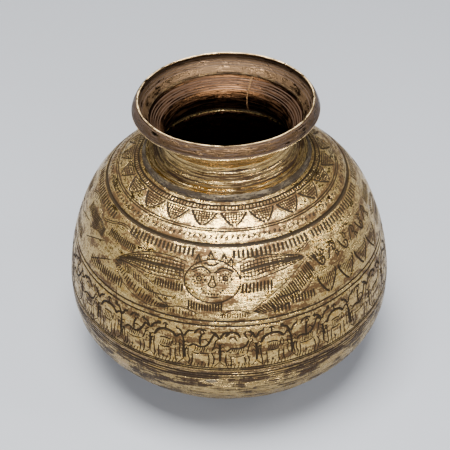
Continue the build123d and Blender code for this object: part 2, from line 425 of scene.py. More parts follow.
# wraps a flat sheet round the pot's axis, along an outline, and lets the metal dent and sag
def wrapRoundTree():
    tree, given, result = newTree("wrapRound", "GeometryNodeTree", {
        "Geometry": None,
        "Outline": None,
        "Copies": 1,
        "First angle": 0.0,
        "Dent depth": 0.0,
        "Dent size": 0.02,
        "Sway depth": 0.0,
        "Sway size": 1.0,
        "Seed": 3.0,
        "Finish": None,
    }, ["Geometry"])
    row = placed(tree, "GeometryNodeMeshLine", {
        "Count": given["Copies"],
        "Start Location": combine(tree, given["First angle"], 0, 0),
        "Offset": combine(tree, calc(tree, "DIVIDE", 2 * math.pi, given["Copies"]), 0, 0),
    })
    scatter = placed(tree, "GeometryNodeInstanceOnPoints", {"Points": row[0], "Instance": given["Geometry"]})
    sheets = placed(tree, "GeometryNodeRealizeInstances", {0: scatter[0]})
    flat = split(tree, tree.nodes.new("GeometryNodeInputPosition").outputs[0])
    outline = placed(tree, "GeometryNodeObjectInfo", {"Object": given["Outline"]})
    asked = {"Curves": outline["Geometry"], "Length": flat[1]}
    sample = placed(tree, "GeometryNodeSampleCurve", asked, mode="LENGTH")
    point = split(tree, sample["Position"])
    tangent = split(tree, sample["Tangent"])
    cosine = calc(tree, "COSINE", flat[0])
    sine = calc(tree, "SINE", flat[0])

    def turned(radius, height):
        along = [calc(tree, "MULTIPLY", radius, share) for share in (cosine, sine)]
        return combine(tree, *along, height)

    def share(label):
        return placed(tree, "GeometryNodeInputNamedAttribute", {"Name": label})[0]

    def unevenness(place, name):
        size = calc(tree, "DIVIDE", 1.0, given[name + " size"])
        grown = placed(tree, "ShaderNodeVectorMath", {0: place, "Scale": size}, operation="SCALE")[0]
        seed = combine(tree, given["Seed"], 0, 0)
        shifted = placed(tree, "ShaderNodeVectorMath", {0: grown, 1: seed}, operation="ADD")[0]
        return calc(tree, "MULTIPLY", noise(tree, shifted, 1.0, 1.5), given[name + " depth"])

    dent = unevenness(turned(point[0], point[2]), "Dent")
    lift = calc(tree, "SUBTRACT", flat[2], calc(tree, "MULTIPLY", dent, share("give")))
    sway = unevenness(combine(tree, cosine, sine, 0), "Sway")
    drop = calc(tree, "MULTIPLY", sway, share("sway"))
    radius = calc(tree, "MULTIPLY_ADD", tangent[2], lift, point[0])
    height = calc(tree, "SUBTRACT", point[2], calc(tree, "MULTIPLY_ADD", tangent[0], lift, drop))
    wrapped = {"Geometry": sheets[0], "Position": turned(radius, height)}
    place = placed(tree, "GeometryNodeSetPosition", wrapped)
    merge = placed(tree, "GeometryNodeMergeByDistance", {"Geometry": place[0], "Distance": 2e-6})
    whole = placed(tree, "GeometryNodeRealizeInstances", {0: merge[0]})
    finish = placed(tree, "GeometryNodeSetMaterial", {"Geometry": whole[0], "Material": given["Finish"]})
    link(tree, finish[0], result["Geometry"])
    return tree


wrapRound = wrapRoundTree()


mapLook = {
    "border": 0.01,
    "across": 0.98,
    "rowHeight": 0.48,
    "rowPitch": 0.5,
}


def foldedMap(mesh, total, firstAngle, span, outerShare, outerRun):
    # half of the turn on each of two rows of the map, the outside given most of the height

    def read(source, key, width=1, kind=np.int32):
        data = np.empty(len(source) * width, kind)
        source.foreach_get(key, data)
        return data

    loops = read(mesh.loops, "vertex_index")
    starts = read(mesh.polygons, "loop_start")
    counts = read(mesh.polygons, "loop_total")
    place = read(mesh.vertices, "co", 3, float).reshape(-1, 3)
    runs = read(mesh.attributes["run"].data, "value", 1, float)
    faceOf = np.repeat(np.arange(len(starts)), counts)
    angle = np.arctan2(place[:, 1], place[:, 0])[loops]
    ring = np.hypot(place[:, 0], place[:, 1])[loops]
    cosine = np.bincount(faceOf, ring * np.cos(angle), len(starts))
    sine = np.bincount(faceOf, ring * np.sin(angle), len(starts))
    middle = (np.arctan2(sine, cosine)[faceOf] - firstAngle) % (2 * math.pi)
    away = (angle - firstAngle - middle + math.pi) % (2 * math.pi) - math.pi
    away = np.where(ring < 1e-6, 0.0, away)
    row = (middle >= span / 2).astype(float)
    across = np.clip((middle + away - row * span / 2) / (span / 2), 0, 1)
    run = runs[loops]
    runMiddle = (np.bincount(faceOf, run, len(starts)) / counts)[faceOf]
    run = np.where(run - runMiddle < -total / 2, run + total, run)
    inside = outerShare + (run - outerRun) / max(1e-9, total - outerRun) * (1 - outerShare)
    up = np.clip(np.where(run <= outerRun, run / outerRun * outerShare, inside), 0, 1)
    border = mapLook["border"]
    uv = np.stack([border + mapLook["across"] * across,
                   border + mapLook["rowHeight"] * up + mapLook["rowPitch"] * row], 1)
    layer = mesh.uv_layers.new(name="OFBake")
    layer.data.foreach_set("uv", uv.ravel().astype(np.float32))


def roundPiece(name, node, finish, outline, sheet, outerRun=None, copies=1, firstAngle=0.0,
               dents=(0.0, 20.0), sways=(0.0, 1.0), seed=3.0, sharp=34):
    profile = outline.curve(name + "Outline")
    sides = [vertex.co.x for vertex in sheet.data.vertices]
    left = min(sides)
    span = max(sides) - left
    bend = sheet.modifiers.new("wrapRound", "NODES")
    bend.node_group = wrapRound
    values = {
        "Outline": profile,
        "Copies": copies,
        "First angle": math.radians(firstAngle),
        "Dent depth": dents[0] * mm,
        "Dent size": dents[1] * mm,
        "Sway depth": sways[0] * mm,
        "Sway size": sways[1],
        "Seed": seed,
        "Finish": finish,
    }
    for item in wrapRound.interface.items_tree:
        if item.in_out == "INPUT" and item.name in values:
            bend[item.identifier] = values[item.name]
    bpy.context.view_layer.update()
    mesh = bpy.data.meshes.new_from_object(sheet.evaluated_get(bpy.context.evaluated_depsgraph_get()))
    mesh.name = name
    sheet.modifiers.remove(bend)
    bpy.data.objects.remove(sheet)
    bpy.data.objects.remove(profile)
    piece = bpy.data.objects.new(name, mesh)
    bpy.context.scene.collection.objects.link(piece)
    mesh.polygons.foreach_set("use_smooth", [True] * len(mesh.polygons))
    mesh.set_sharp_from_angle(angle=math.radians(sharp))
    foldedMap(mesh, outline.length * mm, math.radians(firstAngle) + left, span * copies,
              0.8 if outerRun else 1.0, (outerRun or outline.length) * mm)
    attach(piece, "root")
    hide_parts(node)
    print(name, len(mesh.polygons), "faces")


# finishes
def streakGroup():
    # polish streaks that run round the pot, and tarnish that has settled in patches
    tree, given, result = newTree("polishStreaks", "ShaderNodeTree", {
        "Patch size": 0.03,
        "Patch cover": 0.5,
        "Streak size": 0.0012,
        "Streak length": 0.03,
        "Streak weight": 0.5,
        "Cross": 0.0,
        "Grime": 0.0,
    }, ["Patches", "Streaks", "Specks"])
    place = tree.nodes.new("ShaderNodeTexCoord").outputs["Object"]
    axes = split(tree, place)
    run = mark(tree, "run")

    def pattern(size, height, detail, roughness):
        # noise with one size round the pot and another up its wall
        sizes = [(axes[0], size), (axes[1], size), (run, height)]
        spot = combine(tree, *(calc(tree, "DIVIDE", way, length) for way, length in sizes))
        return noise(tree, spot, 1.0, detail, roughness)

    along = pattern(given["Streak length"], given["Streak size"], 3.0, 0.65)
    crossHeight = calc(tree, "MULTIPLY", given["Streak size"], 4.5)
    across = pattern(given["Streak size"], crossHeight, 2.0, 0.6)
    patchHeight = calc(tree, "MULTIPLY", given["Patch size"], 0.42)
    patches = pattern(given["Patch size"], patchHeight, 4.0, 0.62)
    streaks = calc(tree, "ADD", calc(tree, "MULTIPLY", along, calc(tree, "SUBTRACT", 1.0, given["Cross"])),
                   calc(tree, "MULTIPLY", across, given["Cross"]))
    uneven = calc(tree, "SUBTRACT", streaks, 0.5)
    mixed = calc(tree, "MULTIPLY_ADD", uneven, given["Streak weight"], patches)
    mixed = calc(tree, "MULTIPLY_ADD", mark(tree, "grime"), given["Grime"], mixed)
    edge = calc(tree, "SUBTRACT", 1.0, given["Patch cover"])
    low, high = (calc(tree, step, edge, 0.1) for step in ("SUBTRACT", "ADD"))
    link(tree, ramp(tree, mixed, low, high, "SMOOTHSTEP"), result["Patches"])
    spread = calc(tree, "MULTIPLY_ADD", calc(tree, "SUBTRACT", patches, 0.5), 0.5, streaks)
    link(tree, ramp(tree, spread, 0.40, 0.60), result["Streaks"])
    link(tree, noise(tree, place, 900.0, 2.0, 0.6), result["Specks"])
    return tree


def cutGroup():
    # dirt that has stayed in the cuts; the inside faces, painted dark as the shade inside the pot; and worn
    # metal at the given edges, painted pale as the highlights along them
    tree, given, result = newTree("cutDirtShadeAndGlint", "ShaderNodeTree", {"Fill": 0.9}, ["Dirt", "InnerShade", "RubbedAndGlinting"])
    worn = noise(tree, tree.nodes.new("ShaderNodeTexCoord").outputs["Object"], 110.0, 3.0, 0.6)
    low = calc(tree, "MULTIPLY", worn, 0.12)
    high = calc(tree, "MULTIPLY_ADD", worn, 0.22, 0.06)
    dirt = ramp(tree, mark(tree, "cut"), low, high, "SMOOTHSTEP")
    link(tree, calc(tree, "MULTIPLY", dirt, given["Fill"]), result["Dirt"])
    link(tree, mark(tree, "inner"), result["InnerShade"])
    link(tree, ramp(tree, calc(tree, "ADD", mark(tree, "rubAndGlint"), worn), 1.05, 1.3), result["RubbedAndGlinting"])
    return tree


polishStreaks = streakGroup()
cutDirtShadeAndGlint = cutGroup()


def metalFinish(name, look):
    look = {**plainMetal, **look}
    material = bpy.data.materials.new(name)
    material.use_nodes = True
    tree = material.node_tree
    shader = tree.nodes["Principled BSDF"]
    wear = placed(tree, "ShaderNodeGroup", {
        "Patch size": look["patchSize"],
        "Patch cover": look["patchCover"],
        "Streak size": look["streakSize"],
        "Streak length": look["streakLength"],
        "Streak weight": look["streakWeight"],
        "Cross": look["cross"],
        "Grime": look["grime"],
    }, node_tree=polishStreaks)
    cuts = placed(tree, "ShaderNodeGroup", {"Fill": look["cutFill"]}, node_tree=cutDirtShadeAndGlint)
    polished = mixColour(tree, wear["Streaks"], look["bright"], look["pale"])
    aged = mixColour(tree, wear["Patches"], polished, look["tarnish"])
    specks = calc(tree, "MULTIPLY", calc(tree, "GREATER_THAN", wear["Specks"], 0.66), look["speckle"])
    speckled = mixColour(tree, specks, aged, look["dirt"])
    # inside faces take the inner colour: near black on the bowls and the neck, painted shade inside the pot
    withInnerShade = mixColour(tree, cuts["InnerShade"], speckled, look["inner"])
    # worn edges painted pale, which also stands for the highlights along them
    wornAndGlinting = mixColour(tree, cuts["RubbedAndGlinting"], withInnerShade, look["rubbedAndGlinting"])
    link(tree, mixColour(tree, cuts["Dirt"], wornAndGlinting, look["dirt"]), shader.inputs["Base Color"])
    shader.inputs["Specular IOR Level"].default_value = look["shine"]
    rough = calc(tree, "MULTIPLY_ADD", wear["Patches"], look["tarnishRough"], look["rough"])
    rough = calc(tree, "MULTIPLY_ADD", wear["Streaks"], look["streakRough"], rough)
    link(tree, calc(tree, "MULTIPLY_ADD", cuts["Dirt"], 0.3, rough), shader.inputs["Roughness"])
    bare = calc(tree, "SUBTRACT", 1.0, calc(tree, "MULTIPLY", wear["Patches"], look["tarnishCover"]))
    clean = calc(tree, "SUBTRACT", 1.0, calc(tree, "MULTIPLY", cuts["Dirt"], 0.75))
    link(tree, calc(tree, "MULTIPLY", bare, clean), shader.inputs["Metallic"])
    height = calc(tree, "MULTIPLY_ADD", wear["Specks"], 0.5, wear["Streaks"])
    grain = {"Strength": look["grain"], "Distance": look["grainDepth"], "Height": height}
    link(tree, placed(tree, "ShaderNodeBump", grain)[0], shader.inputs["Normal"])
    return material


# what the finishes share; each one below changes what differs
plainMetal = {
    "pale": (0.98, 0.75, 0.31, 1),
    "dirt": (0.03, 0.02, 0.016, 1),
    # worn edges, painted pale as highlights
    "rubbedAndGlinting": (0.75, 0.55, 0.30, 1),
    "patchCover": 0.5,
    "streakWeight": 0.8,
    "cross": 0.0,
    "cutFill": 0.8,
    "grime": 0.10,
    "speckle": 0.5,
    "shine": 0.12,
    "rough": 0.16,
    "tarnishRough": 0.2,
    "streakRough": 0.16,
    "tarnishCover": 0.35,
    "grain": 0.3,
    "grainDepth": 0.0006,
}
bodyBrass = metalFinish("bodyBrass", {
    "bright": (0.37, 0.222, 0.060, 1),
    "tarnish": (0.064, 0.036, 0.015, 1),
    "dirt": (0.010, 0.006, 0.002, 1),
    # inside faces painted near black: painted shade inside the pot
    "inner": (0.030, 0.012, 0.006, 1),
    "patchSize": 0.011,
    "patchCover": 0.47,
    "streakSize": 0.0009,
    "streakLength": 0.005,
    "streakWeight": 1.1,
    "cross": 0.45,
    "cutFill": 1.0,
    "grime": 0.07,
    "speckle": 0.1,
    "tarnishRough": 0.16,
})
# darker all over than the upper bowl's brass
bowlBrass = metalFinish("bowlBrass", {
    "bright": (0.30, 0.182, 0.058, 1),
    "tarnish": (0.034, 0.019, 0.009, 1),
    "dirt": (0.012, 0.007, 0.003, 1),
    # inside faces painted near black: painted shade inside the pot
    "inner": (0.030, 0.012, 0.006, 1),
    "patchSize": 0.012,
    "patchCover": 0.52,
    "streakSize": 0.0010,
    "streakLength": 0.014,
    "streakWeight": 1.6,
    "cross": 0.2,
    "cutFill": 1.0,
    "speckle": 0.35,
    "streakRough": 0.12,
    "grain": 0.6,
})
# brighter brass than the bowls: a painted highlight on the neck's flare
neckBrassPaintedHighlight = metalFinish("neckBrassPaintedHighlight", {
    # painted brighter as a highlight
    "bright": (0.56, 0.365, 0.130, 1),
    "pale": (0.98, 0.76, 0.36, 1),
    "tarnish": (0.045, 0.025, 0.010, 1),
    "dirt": (0.03, 0.018, 0.012, 1),
    # inside faces painted near black: painted shade inside the pot
    "inner": (0.030, 0.014, 0.006, 1),
    "patchSize": 0.02,
    "patchCover": 0.39,
    "streakSize": 0.0007,
    "streakLength": 0.014,
    "streakWeight": 1.4,
    "cross": 0.15,
    "cutFill": 0.85,
    "speckle": 0.3,
    "rough": 0.14,
})
rimBrass = metalFinish("rimBrass", {
    "bright": (0.036, 0.020, 0.009, 1),
    "pale": (0.19, 0.12, 0.06, 1),
    "tarnish": (0.034, 0.019, 0.009, 1),
    # the rim's worn fold and lip, painted pale as the highlights along them
    "rubbedAndGlinting": (0.66, 0.48, 0.25, 1),
    "inner": (0.055, 0.033, 0.017, 1),
    "patchSize": 0.006,
    "streakSize": 0.0006,
    "streakLength": 0.006,
    "cross": 0.3,
    "speckle": 0.3,
    "rough": 0.18,
    "tarnishRough": 0.18,
    "tarnishCover": 0.3,
    "grain": 0.4,
})
brazeMetal = metalFinish("brazeMetal", {
    "bright": (0.15, 0.095, 0.042, 1),
    "pale": (0.32, 0.22, 0.11, 1),
    "tarnish": (0.04, 0.024, 0.012, 1),
    "inner": (0.10, 0.055, 0.025, 1),
    "patchSize": 0.008,
    "streakSize": 0.0008,
    "streakLength": 0.004,
    "rough": 0.36,
    "tarnishCover": 0.4,
    "grain": 0.8,
})
softSolder = metalFinish("softSolder", {
    "bright": (0.105, 0.084, 0.056, 1),
    "pale": (0.29, 0.24, 0.165, 1),
    "tarnish": (0.038, 0.028, 0.018, 1),
    "dirt": (0.025, 0.02, 0.018, 1),
    "inner": (0.07, 0.06, 0.055, 1),
    "patchSize": 0.009,
    "streakSize": 0.001,
    "streakLength": 0.005,
    "streakWeight": 0.6,
    "rough": 0.42,
    "streakRough": 0.14,
    "tarnishCover": 0.5,
    "grain": 0.8,
})
print("finishes made")


# the pot's own outline, shared by both bowls and what joins them
wall = {
    "bellyRadius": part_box("lower_bowl")[1].x / mm,
    "bellyHeight": 41.0,       # widest ring above the floor
    "thickness": 1.6,
    "flankArc": 112.0,         # long arc above the widest ring
    "flankTurn": 25.0,
    "shoulderArc": 53.12,
    "haunchArc": 25.0,         # tight arc below the widest ring
    "haunchTurn": 33.0,
    "underArc": 62.0,
    "lapFilm": 0.25,
}
flankCentre = (wall["bellyRadius"] - wall["flankArc"], wall["bellyHeight"])
shoulderCentre = polar(flankCentre, wall["flankArc"] - wall["shoulderArc"], wall["flankTurn"])
haunchCentre = (wall["bellyRadius"] - wall["haunchArc"], wall["bellyHeight"])
underCentre = polar(haunchCentre, wall["haunchArc"] - wall["underArc"], -wall["haunchTurn"])
wallArcs = [
    (underCentre, wall["underArc"], -90.0, -wall["haunchTurn"]),
    (haunchCentre, wall["haunchArc"], -wall["haunchTurn"], 0.0),
    (flankCentre, wall["flankArc"], 0.0, wall["flankTurn"]),
    (shoulderCentre, wall["shoulderArc"], wall["flankTurn"], 90.0),
]


def wallPoint(inset, angle):
    for centre, radius, first, last in wallArcs:
        if first <= angle <= last:
            return polar(centre, radius - inset, angle)


def wallWay(inset, start, end):
    # the wall from one normal's angle to another, set in from the outside, upward or downward
    low, high = min(start, end), max(start, end)
    way = []
    for centre, radius, first, last in wallArcs:
        if min(last, high) > max(first, low):
            piece = arc(centre, radius - inset, max(first, low), min(last, high))
            way += piece[1:] if way else piece
    return way if end > start else way[::-1]


def wallLevel(angle):
    # run up the outside from the widest ring, in millimetres
    flank = math.radians(min(angle, wall["flankTurn"])) * wall["flankArc"]
    shoulder = math.radians(max(0.0, angle - wall["flankTurn"])) * wall["shoulderArc"]
    return flank + shoulder


def wallRadius(level):
    bend = math.radians(wall["flankTurn"]) * wall["flankArc"]
    if level <= bend:
        return flankCentre[0] + wall["flankArc"] * math.cos(level / wall["flankArc"])
    turn = math.radians(wall["flankTurn"]) + (level - bend) / wall["shoulderArc"]
    return shoulderCentre[0] + wall["shoulderArc"] * math.cos(turn)


# engraving on the upper bowl: degrees from the left edge of the sheet, whose middle is the front
front = 86.9
sheetTurn = 180.0


def pen(angle, level, size=1.0):
    # draws in millimetres about a point of the wall
    def spot(x, y):
        return (front + angle + math.degrees(size * x / wallRadius(level)), level + size * y)
    return spot


def fromFront(points):
    return [(front + angle, level) for angle, level in points]


def drawn(work, spot, points, width=0.5, depth=0.22, count=4):
    way = [spot(x, y) for x, y in points]
    if len(way) > 2:
        way = smoothed(way, count)
    cutLine(work, way, width, depth)


def punchedCurve(work, spot, points, gap, size, depth=0.22):
    # a curve made of short separate punches
    way = smoothed([spot(x, y) for x, y in points], 10)
    radius = wallRadius(way[0][1])
    walked = 0.0
    punch(work, way[0][0], way[0][1], size, depth)
    for before, here in zip(way, way[1:]):
        walked += math.hypot(math.radians(here[0] - before[0]) * radius, here[1] - before[1])
        if walked >= gap:
            walked = 0.0
            punch(work, here[0], here[1], size, depth)


shoulderBands = {
    "dotLevel": 88.8,
    "dotCount": 84,
    "triangleTop": 86.3,
    "triangleTip": 79.7,
    "triangleCount": 11,
    "scrollLevel": 74.7,
    "scrollHeight": 2.2,
    "scrollCount": 72,
    "combTop": 69.4,
    "combFoot": 64.8,
    "combCount": 94,
    "combGaps": [(-57.5, -46), (-13.5, 2.0), (35, 37.5), (79, 84)],
}


def cutShoulderBands(work, look, dice):
    for i in range(look["dotCount"]):
        angle = (i + 0.5) * sheetTurn / look["dotCount"]
        cutLine(work, [(angle, look["dotLevel"] - 1.0), (angle + 0.2, look["dotLevel"] + 1.0)], 0.62, 0.2)
    for level in (look["dotLevel"] - 1.1, look["dotLevel"] + 1.1):
        ringLine(work, level, 0.55, 0.18, 0.08)
    pitch = sheetTurn / look["triangleCount"]
    top, tip = look["triangleTop"], look["triangleTip"]
    flank = ((1.0, 0.0), (0.66, 0.45), (0.32, 0.82), (0.03, 1.0))
    rowStep = (top - tip) * 0.17
    for i in range(look["triangleCount"]):
        middle = (i + 0.5) * pitch + dice.uniform(-0.25, 0.25)
        for side in (-1, 1):
            way = [(middle + side * share * pitch * 0.47, top + 0.7 - (top + 0.7 - tip) * fall)
                   for share, fall in flank]
            cutLine(work, smoothed(way, 3), 1.0 if side < 0 else 0.8, 0.3)
        for row in range(5):
            level = top + 0.1 - row * (top - tip) * 0.17
            reach = (1 - (top - level) / (top - tip)) ** 0.85 * pitch * 0.42
            cutLine(work, [(middle - reach, level), (middle + reach, level)], 0.42, 0.18)
            count = max(2, round(2 * reach / 1.75))
            for k in range(count):
                angle = middle - reach * 0.86 + 1.72 * reach * (k + 0.5 * (row % 2)) / count
                cutLine(work, [(angle, level - 0.1), (angle, level - rowStep + 0.1)], 0.42, 0.18)
    hook = [(-0.85, -0.9), (-0.1, -0.35), (0.62, 0.35), (0.35, 0.95), (-0.3, 0.75), (-0.25, 0.2), (0.15, 0.3)]
    pitch = sheetTurn / look["scrollCount"]
    for i in range(look["scrollCount"]):
        middle = (i + 0.5) * pitch + dice.uniform(-0.12, 0.12)
        size = look["scrollHeight"] / 2 * dice.uniform(0.85, 1.05)
        lean = 1 if i % 2 else -1
        spot = pen(middle - front, look["scrollLevel"], size)
        drawn(work, spot, [(x * lean, y * lean) for x, y in hook], 0.42, 0.2, 2)
    pitch = sheetTurn / look["combCount"]
    for i in range(look["combCount"]):
        middle = (i + 0.5) * pitch
        if any(first < middle - front < last for first, last in look["combGaps"]):
            continue
        lean = dice.uniform(-0.12, 0.12)
        cutLine(work, [(middle - lean, look["combTop"] + dice.uniform(-0.3, 0.2)),
                       (middle + lean, look["combFoot"] + dice.uniform(-0.3, 0.3))], 1.05, 0.3)


def comb(work, first, last, foot, top, count, width=0.85, lean=0.0, arch=0.0):
    # a patch of upright strokes between two angles
    for i in range(count):
        share = i / (count - 1)
        angle = front + first + (last - first) * share
        rise = top + arch * (4 * share * (1 - share) - 1)
        cutLine(work, [(angle - lean / 2, foot), (angle + lean / 2, rise)], width, 0.26)


def leafHeight(upper, lower, share):
    # angle, lower and upper level at a share of the way along a leaf
    place = share * (len(upper) - 1)
    i = min(int(place), len(upper) - 2)
    high = between(upper[i], upper[i + 1], place - i)
    low = between(lower[i], lower[i + 1], place - i)
    return (high[0] + low[0]) / 2, low[1], high[1]


def leafEdges(work, upper, lower, width, depth):
    # cuts both edges, and gives them back with the same number of points
    edges = []
    for edge in (upper, lower):
        fine = smoothed(edge, 12)
        edges.append([fine[round(i * (len(fine) - 1) / 16)] for i in range(17)])
    cutLines(work, [fromFront(edge) for edge in edges], width, depth)
    return edges


netPitch = 1.5
netRows = 6


def wing(work, upper, lower):
    # a leaf filled with a net of cuts that leaves small raised pads, with a dark rib
    upper, lower = leafEdges(work, upper, lower, 0.5, 0.22)
    for row in range(1, netRows):
        line = []
        for k in range(1, 31):
            angle, low, high = leafHeight(upper, lower, k / 32)
            if high - low > 1.1 * (abs(row - netRows / 2) + 0.7):
                line.append((front + angle, low + (high - low) * row / netRows))
        if len(line) > 3:
            width, depth = (1.25, 0.26) if row == netRows // 2 else (0.45, 0.18)
            cutLine(work, line, width, depth)
    radius = wallRadius(upper[0][1])
    count = round(math.radians(abs(upper[-1][0] - upper[0][0])) * radius / netPitch)
    for k in range(1, count):
        angle, low, high = leafHeight(upper, lower, k / count)
        if high - low > 1.4:
            cutLine(work, [(front + angle, low + 0.2), (front + angle, high - 0.2)], 0.46, 0.18)


def feather(work, upper, lower, count=30, lean=1.3, split=True):
    # a leaf of slanting strokes, on both sides of its rib or right across it
    upper, lower = leafEdges(work, upper, lower, 0.42, 0.2)
    for k in range(1, count):
        angle, low, high = leafHeight(upper, lower, k / count)
        angle += front
        middle = (high + low) / 2
        if high - low < 1.4:
            continue
        if split:
            cutLine(work, [(angle - lean * 0.7, high - 0.4), (angle + lean * 0.3, middle + 0.4)], 0.6, 0.24)
            cutLine(work, [(angle + lean * 0.5, middle - 0.4), (angle - lean * 0.4, low + 0.4)], 0.6, 0.24)
        else:
            cutLine(work, [(angle - lean * 0.5, high - 0.5), (angle + lean * 0.5, low + 0.3)], 0.62, 0.24)


sunFace = {
    "angle": -6.4,
    "level": 54.6,
    "wide": 12.3,
    "high": 9.9,
    "brows": [
        ([(0.6, 3.6), (3.4, 5.9), (6.6, 6.1), (10.2, 4.2)], 0.85, 0.3),
        ([(1.2, 3.0), (3.6, 4.9), (6.4, 5.0), (9.4, 3.4)], 0.4, 0.18),
    ],
    "nose": [(0.5, 3.0), (0.75, 0.6), (1.7, -1.4), (0.9, -2.4), (0, -2.5)],
    "smile": [(-4.6, -3.6), (-2.3, -5.4), (0.8, -5.9), (3.6, -5.0), (5.4, -2.9)],
    "chin": [(-2.6, -6.9), (0.8, -7.4), (3.9, -6.7)],
    "forehead": [(-3.2, 8.2), (-1.4, 7.2), (0.4, 7.3), (1.7, 8.0)],
    "rays": [-7.4, -1.2, 5.4, 8.8],
}


def oval(centre, wide, high, count):
    turns = (2 * math.pi * i / count for i in range(count + 1))
    return [(centre[0] + wide * math.cos(t), centre[1] + high * math.sin(t)) for t in turns]


def cutSunFace(work, look):
    spot = pen(look["angle"], look["level"])
    wide, high = look["wide"], look["high"]
    ring = [(wide * math.cos(t) * (1 + 0.04 * math.cos(2 * t)), high * math.sin(t)) for t in
            (2 * math.pi * i / 40 for i in range(41))]
    drawn(work, spot, ring, 0.6, 0.26, 1)
    for side in (-1, 1):
        eye = (side * 6.0, 1.6 if side > 0 else 1.0)
        for points, width, depth in look["brows"]:
            drawn(work, spot, [(side * x, y) for x, y in points], width, depth)
        punchedCurve(work, spot, oval(eye, 2.9, 2.1, 16), 1.2, 1.15)
        drawn(work, spot, oval(eye, 1.15, 1.1, 8), 0.7, 0.26, 2)
        punch(work, *spot(*eye), 1.3, 0.32)
        drawn(work, spot, [(side * x, y) for x, y in look["nose"]], 0.62, 0.26)
    punchedCurve(work, spot, look["smile"], 1.25, 1.3, 0.28)
    drawn(work, spot, look["chin"], 0.5, 0.2)
    drawn(work, spot, look["forehead"], 0.8, 0.26)
    punch(work, *spot(1.2, 9.0), 1.0, 0.28)
    for base in look["rays"]:
        foot = high * math.sqrt(1 - (base / wide) ** 2) + 0.2
        for lean, rise in ((-1.9, 3.2), (-0.7, 4.1), (0.7, 4.0), (1.9, 3.0)):
            ray = [(base + lean, foot - 0.5), (base + lean * 0.6, foot + rise * 0.5),
                   (base + lean * 0.2, foot + rise)]
            drawn(work, spot, ray, 0.5, 0.2)


figureBand = {
    "wings": [
        ([(2.0, 62.4), (8, 65.0), (14, 65.2), (22, 63.6), (28, 61.2), (31, 59.2)],
         [(4.6, 55.3), (10, 55.0), (17, 56.4), (24, 57.6), (28, 58.5), (31, 59.2)]),
        ([(-15.4, 62.2), (-24, 63.3), (-32, 62.4), (-38, 59.8), (-44, 55.2), (-48, 50.8)],
         [(-17.3, 54.0), (-24, 53.2), (-32, 52.6), (-38, 53.0), (-43.5, 52.4), (-48, 50.8)]),
    ],
    "leftFeather": ([(-47.8, 50.2), (-42, 52.4), (-36, 51.8), (-30, 49.2), (-25, 44.8), (-21.5, 40.4)],
                    [(-47.8, 50.2), (-45, 46.2), (-40, 41.8), (-33, 38.4), (-27, 38.0), (-21.5, 40.4)]),
    "rightFeather": ([(31.5, 58.6), (25, 54.0), (19, 49.6), (13, 45.0), (7.2, 40.4)],
                     [(33.6, 50.6), (29.5, 45.6), (23, 41.4), (16, 39.2), (9.8, 38.4)]),
    "sideFeather": ([(76, 49.5), (80, 52.4), (84, 53.0), (88, 51.6), (91, 49.0)],
                    [(76, 49.5), (80, 47.4), (84, 46.8), (88, 47.4), (91, 49.0)]),
    # first and last angle, foot and top level, number of strokes, and what differs
    "combs": [
        (-28, -17.5, 48.0, 52.4, 11, {}),
        (4.8, 15.5, 48.6, 54.2, 9, {"lean": 0.5}),
        (-14.5, -3.0, 40.4, 44.2, 13, {"arch": -1.4}),
        (-61, -42, 39.2, 44.4, 17, {}),
        (22.5, 31.0, 39.4, 43.8, 8, {}),
        (15.5, 20.8, 37.6, 41.0, 5, {"width": 1.0}),
        (-56, -41, 58.0, 62.2, 15, {}),
        (-78, -66, 55.0, 60.5, 12, {}),
        (-85, -74, 39.5, 45.0, 10, {}),
    ],
    "sideCombs": [(78, 90, 54.0, 60.0, 11), (78, 91, 39.5, 45.5, 12)],
    "mounds": [(-25, -10, 41.2), (-4.6, 8.0, 41.4)],
    "sweeps": [
        [(-64, 60.6), (-58, 63.2), (-51.5, 66.2), (-45.5, 65.8), (-39, 63.2), (-35, 61.6)],
        [(26.8, 61.4), (31.5, 62.8), (36.8, 65.4)],
        [(-85, 60.5), (-80, 63.5), (-74, 64.4), (-68, 62.4), (-62, 58.0)],
    ],
    "stems": [((-71, 45.5), (-56, 54.5)), ((-62, 40.5), (-49, 49.5)), ((-85, 48), (-72, 53))],
}


def cutFigureBand(work, look):
    cutSunFace(work, sunFace)
    for upper, lower in look["wings"]:
        wing(work, upper, lower)
    feather(work, *look["leftFeather"], count=26)
    feather(work, *look["rightFeather"], count=30, lean=2.6, split=False)
    for *place, other in look["combs"]:
        comb(work, *place, **other)
    for first, last, crown in look["mounds"]:
        cutCurve(work, fromFront([(first, 38.2), ((first + last) / 2, crown), (last, 38.4)]))
        comb(work, first + 2.0, last - 2.0, 37.3, crown - 1.6, 11, width=0.45)
    for sweep in look["sweeps"]:
        for lift in (0.0, 0.95):
            cutCurve(work, fromFront([(angle, level + lift) for angle, level in sweep]), 0.42, 0.2)
    for start, end in look["stems"]:
        middle = ((start[0] + end[0]) / 2, (start[1] + end[1]) / 2 + 0.5)
        cutCurve(work, fromFront([start, middle, end]))
    for k in range(9):
        stroke = [(-71 + k * 0.3, 51.2 + k * 0.95), (-64.5, 54.2 + k * 0.7), (-58.5, 54.8 + k * 0.42)]
        cutCurve(work, fromFront(stroke), 0.42, 0.2)
    for place in look["sideCombs"]:
        comb(work, *place)
    feather(work, *look["sideFeather"], count=14)
    cutCurve(work, fromFront([(-20, 45.0), (-26, 44.6), (-33, 45.2)]), 0.6, 0.24)
    cutCurve(work, fromFront([(17, 45.0), (21, 44.7), (25.5, 45.4)]), 0.8, 0.26)


# a framed strip of scrolls and rosettes, over hanging teeth filled with fine hatching
framedStrip = {
    "first": 33.0,
    "last": 74.0,
    "top": 62.4,
    "foot": 48.6,
    "teethTip": 38.2,
    "teeth": 4,
    "hatch": 12,             # strokes in each tooth
}


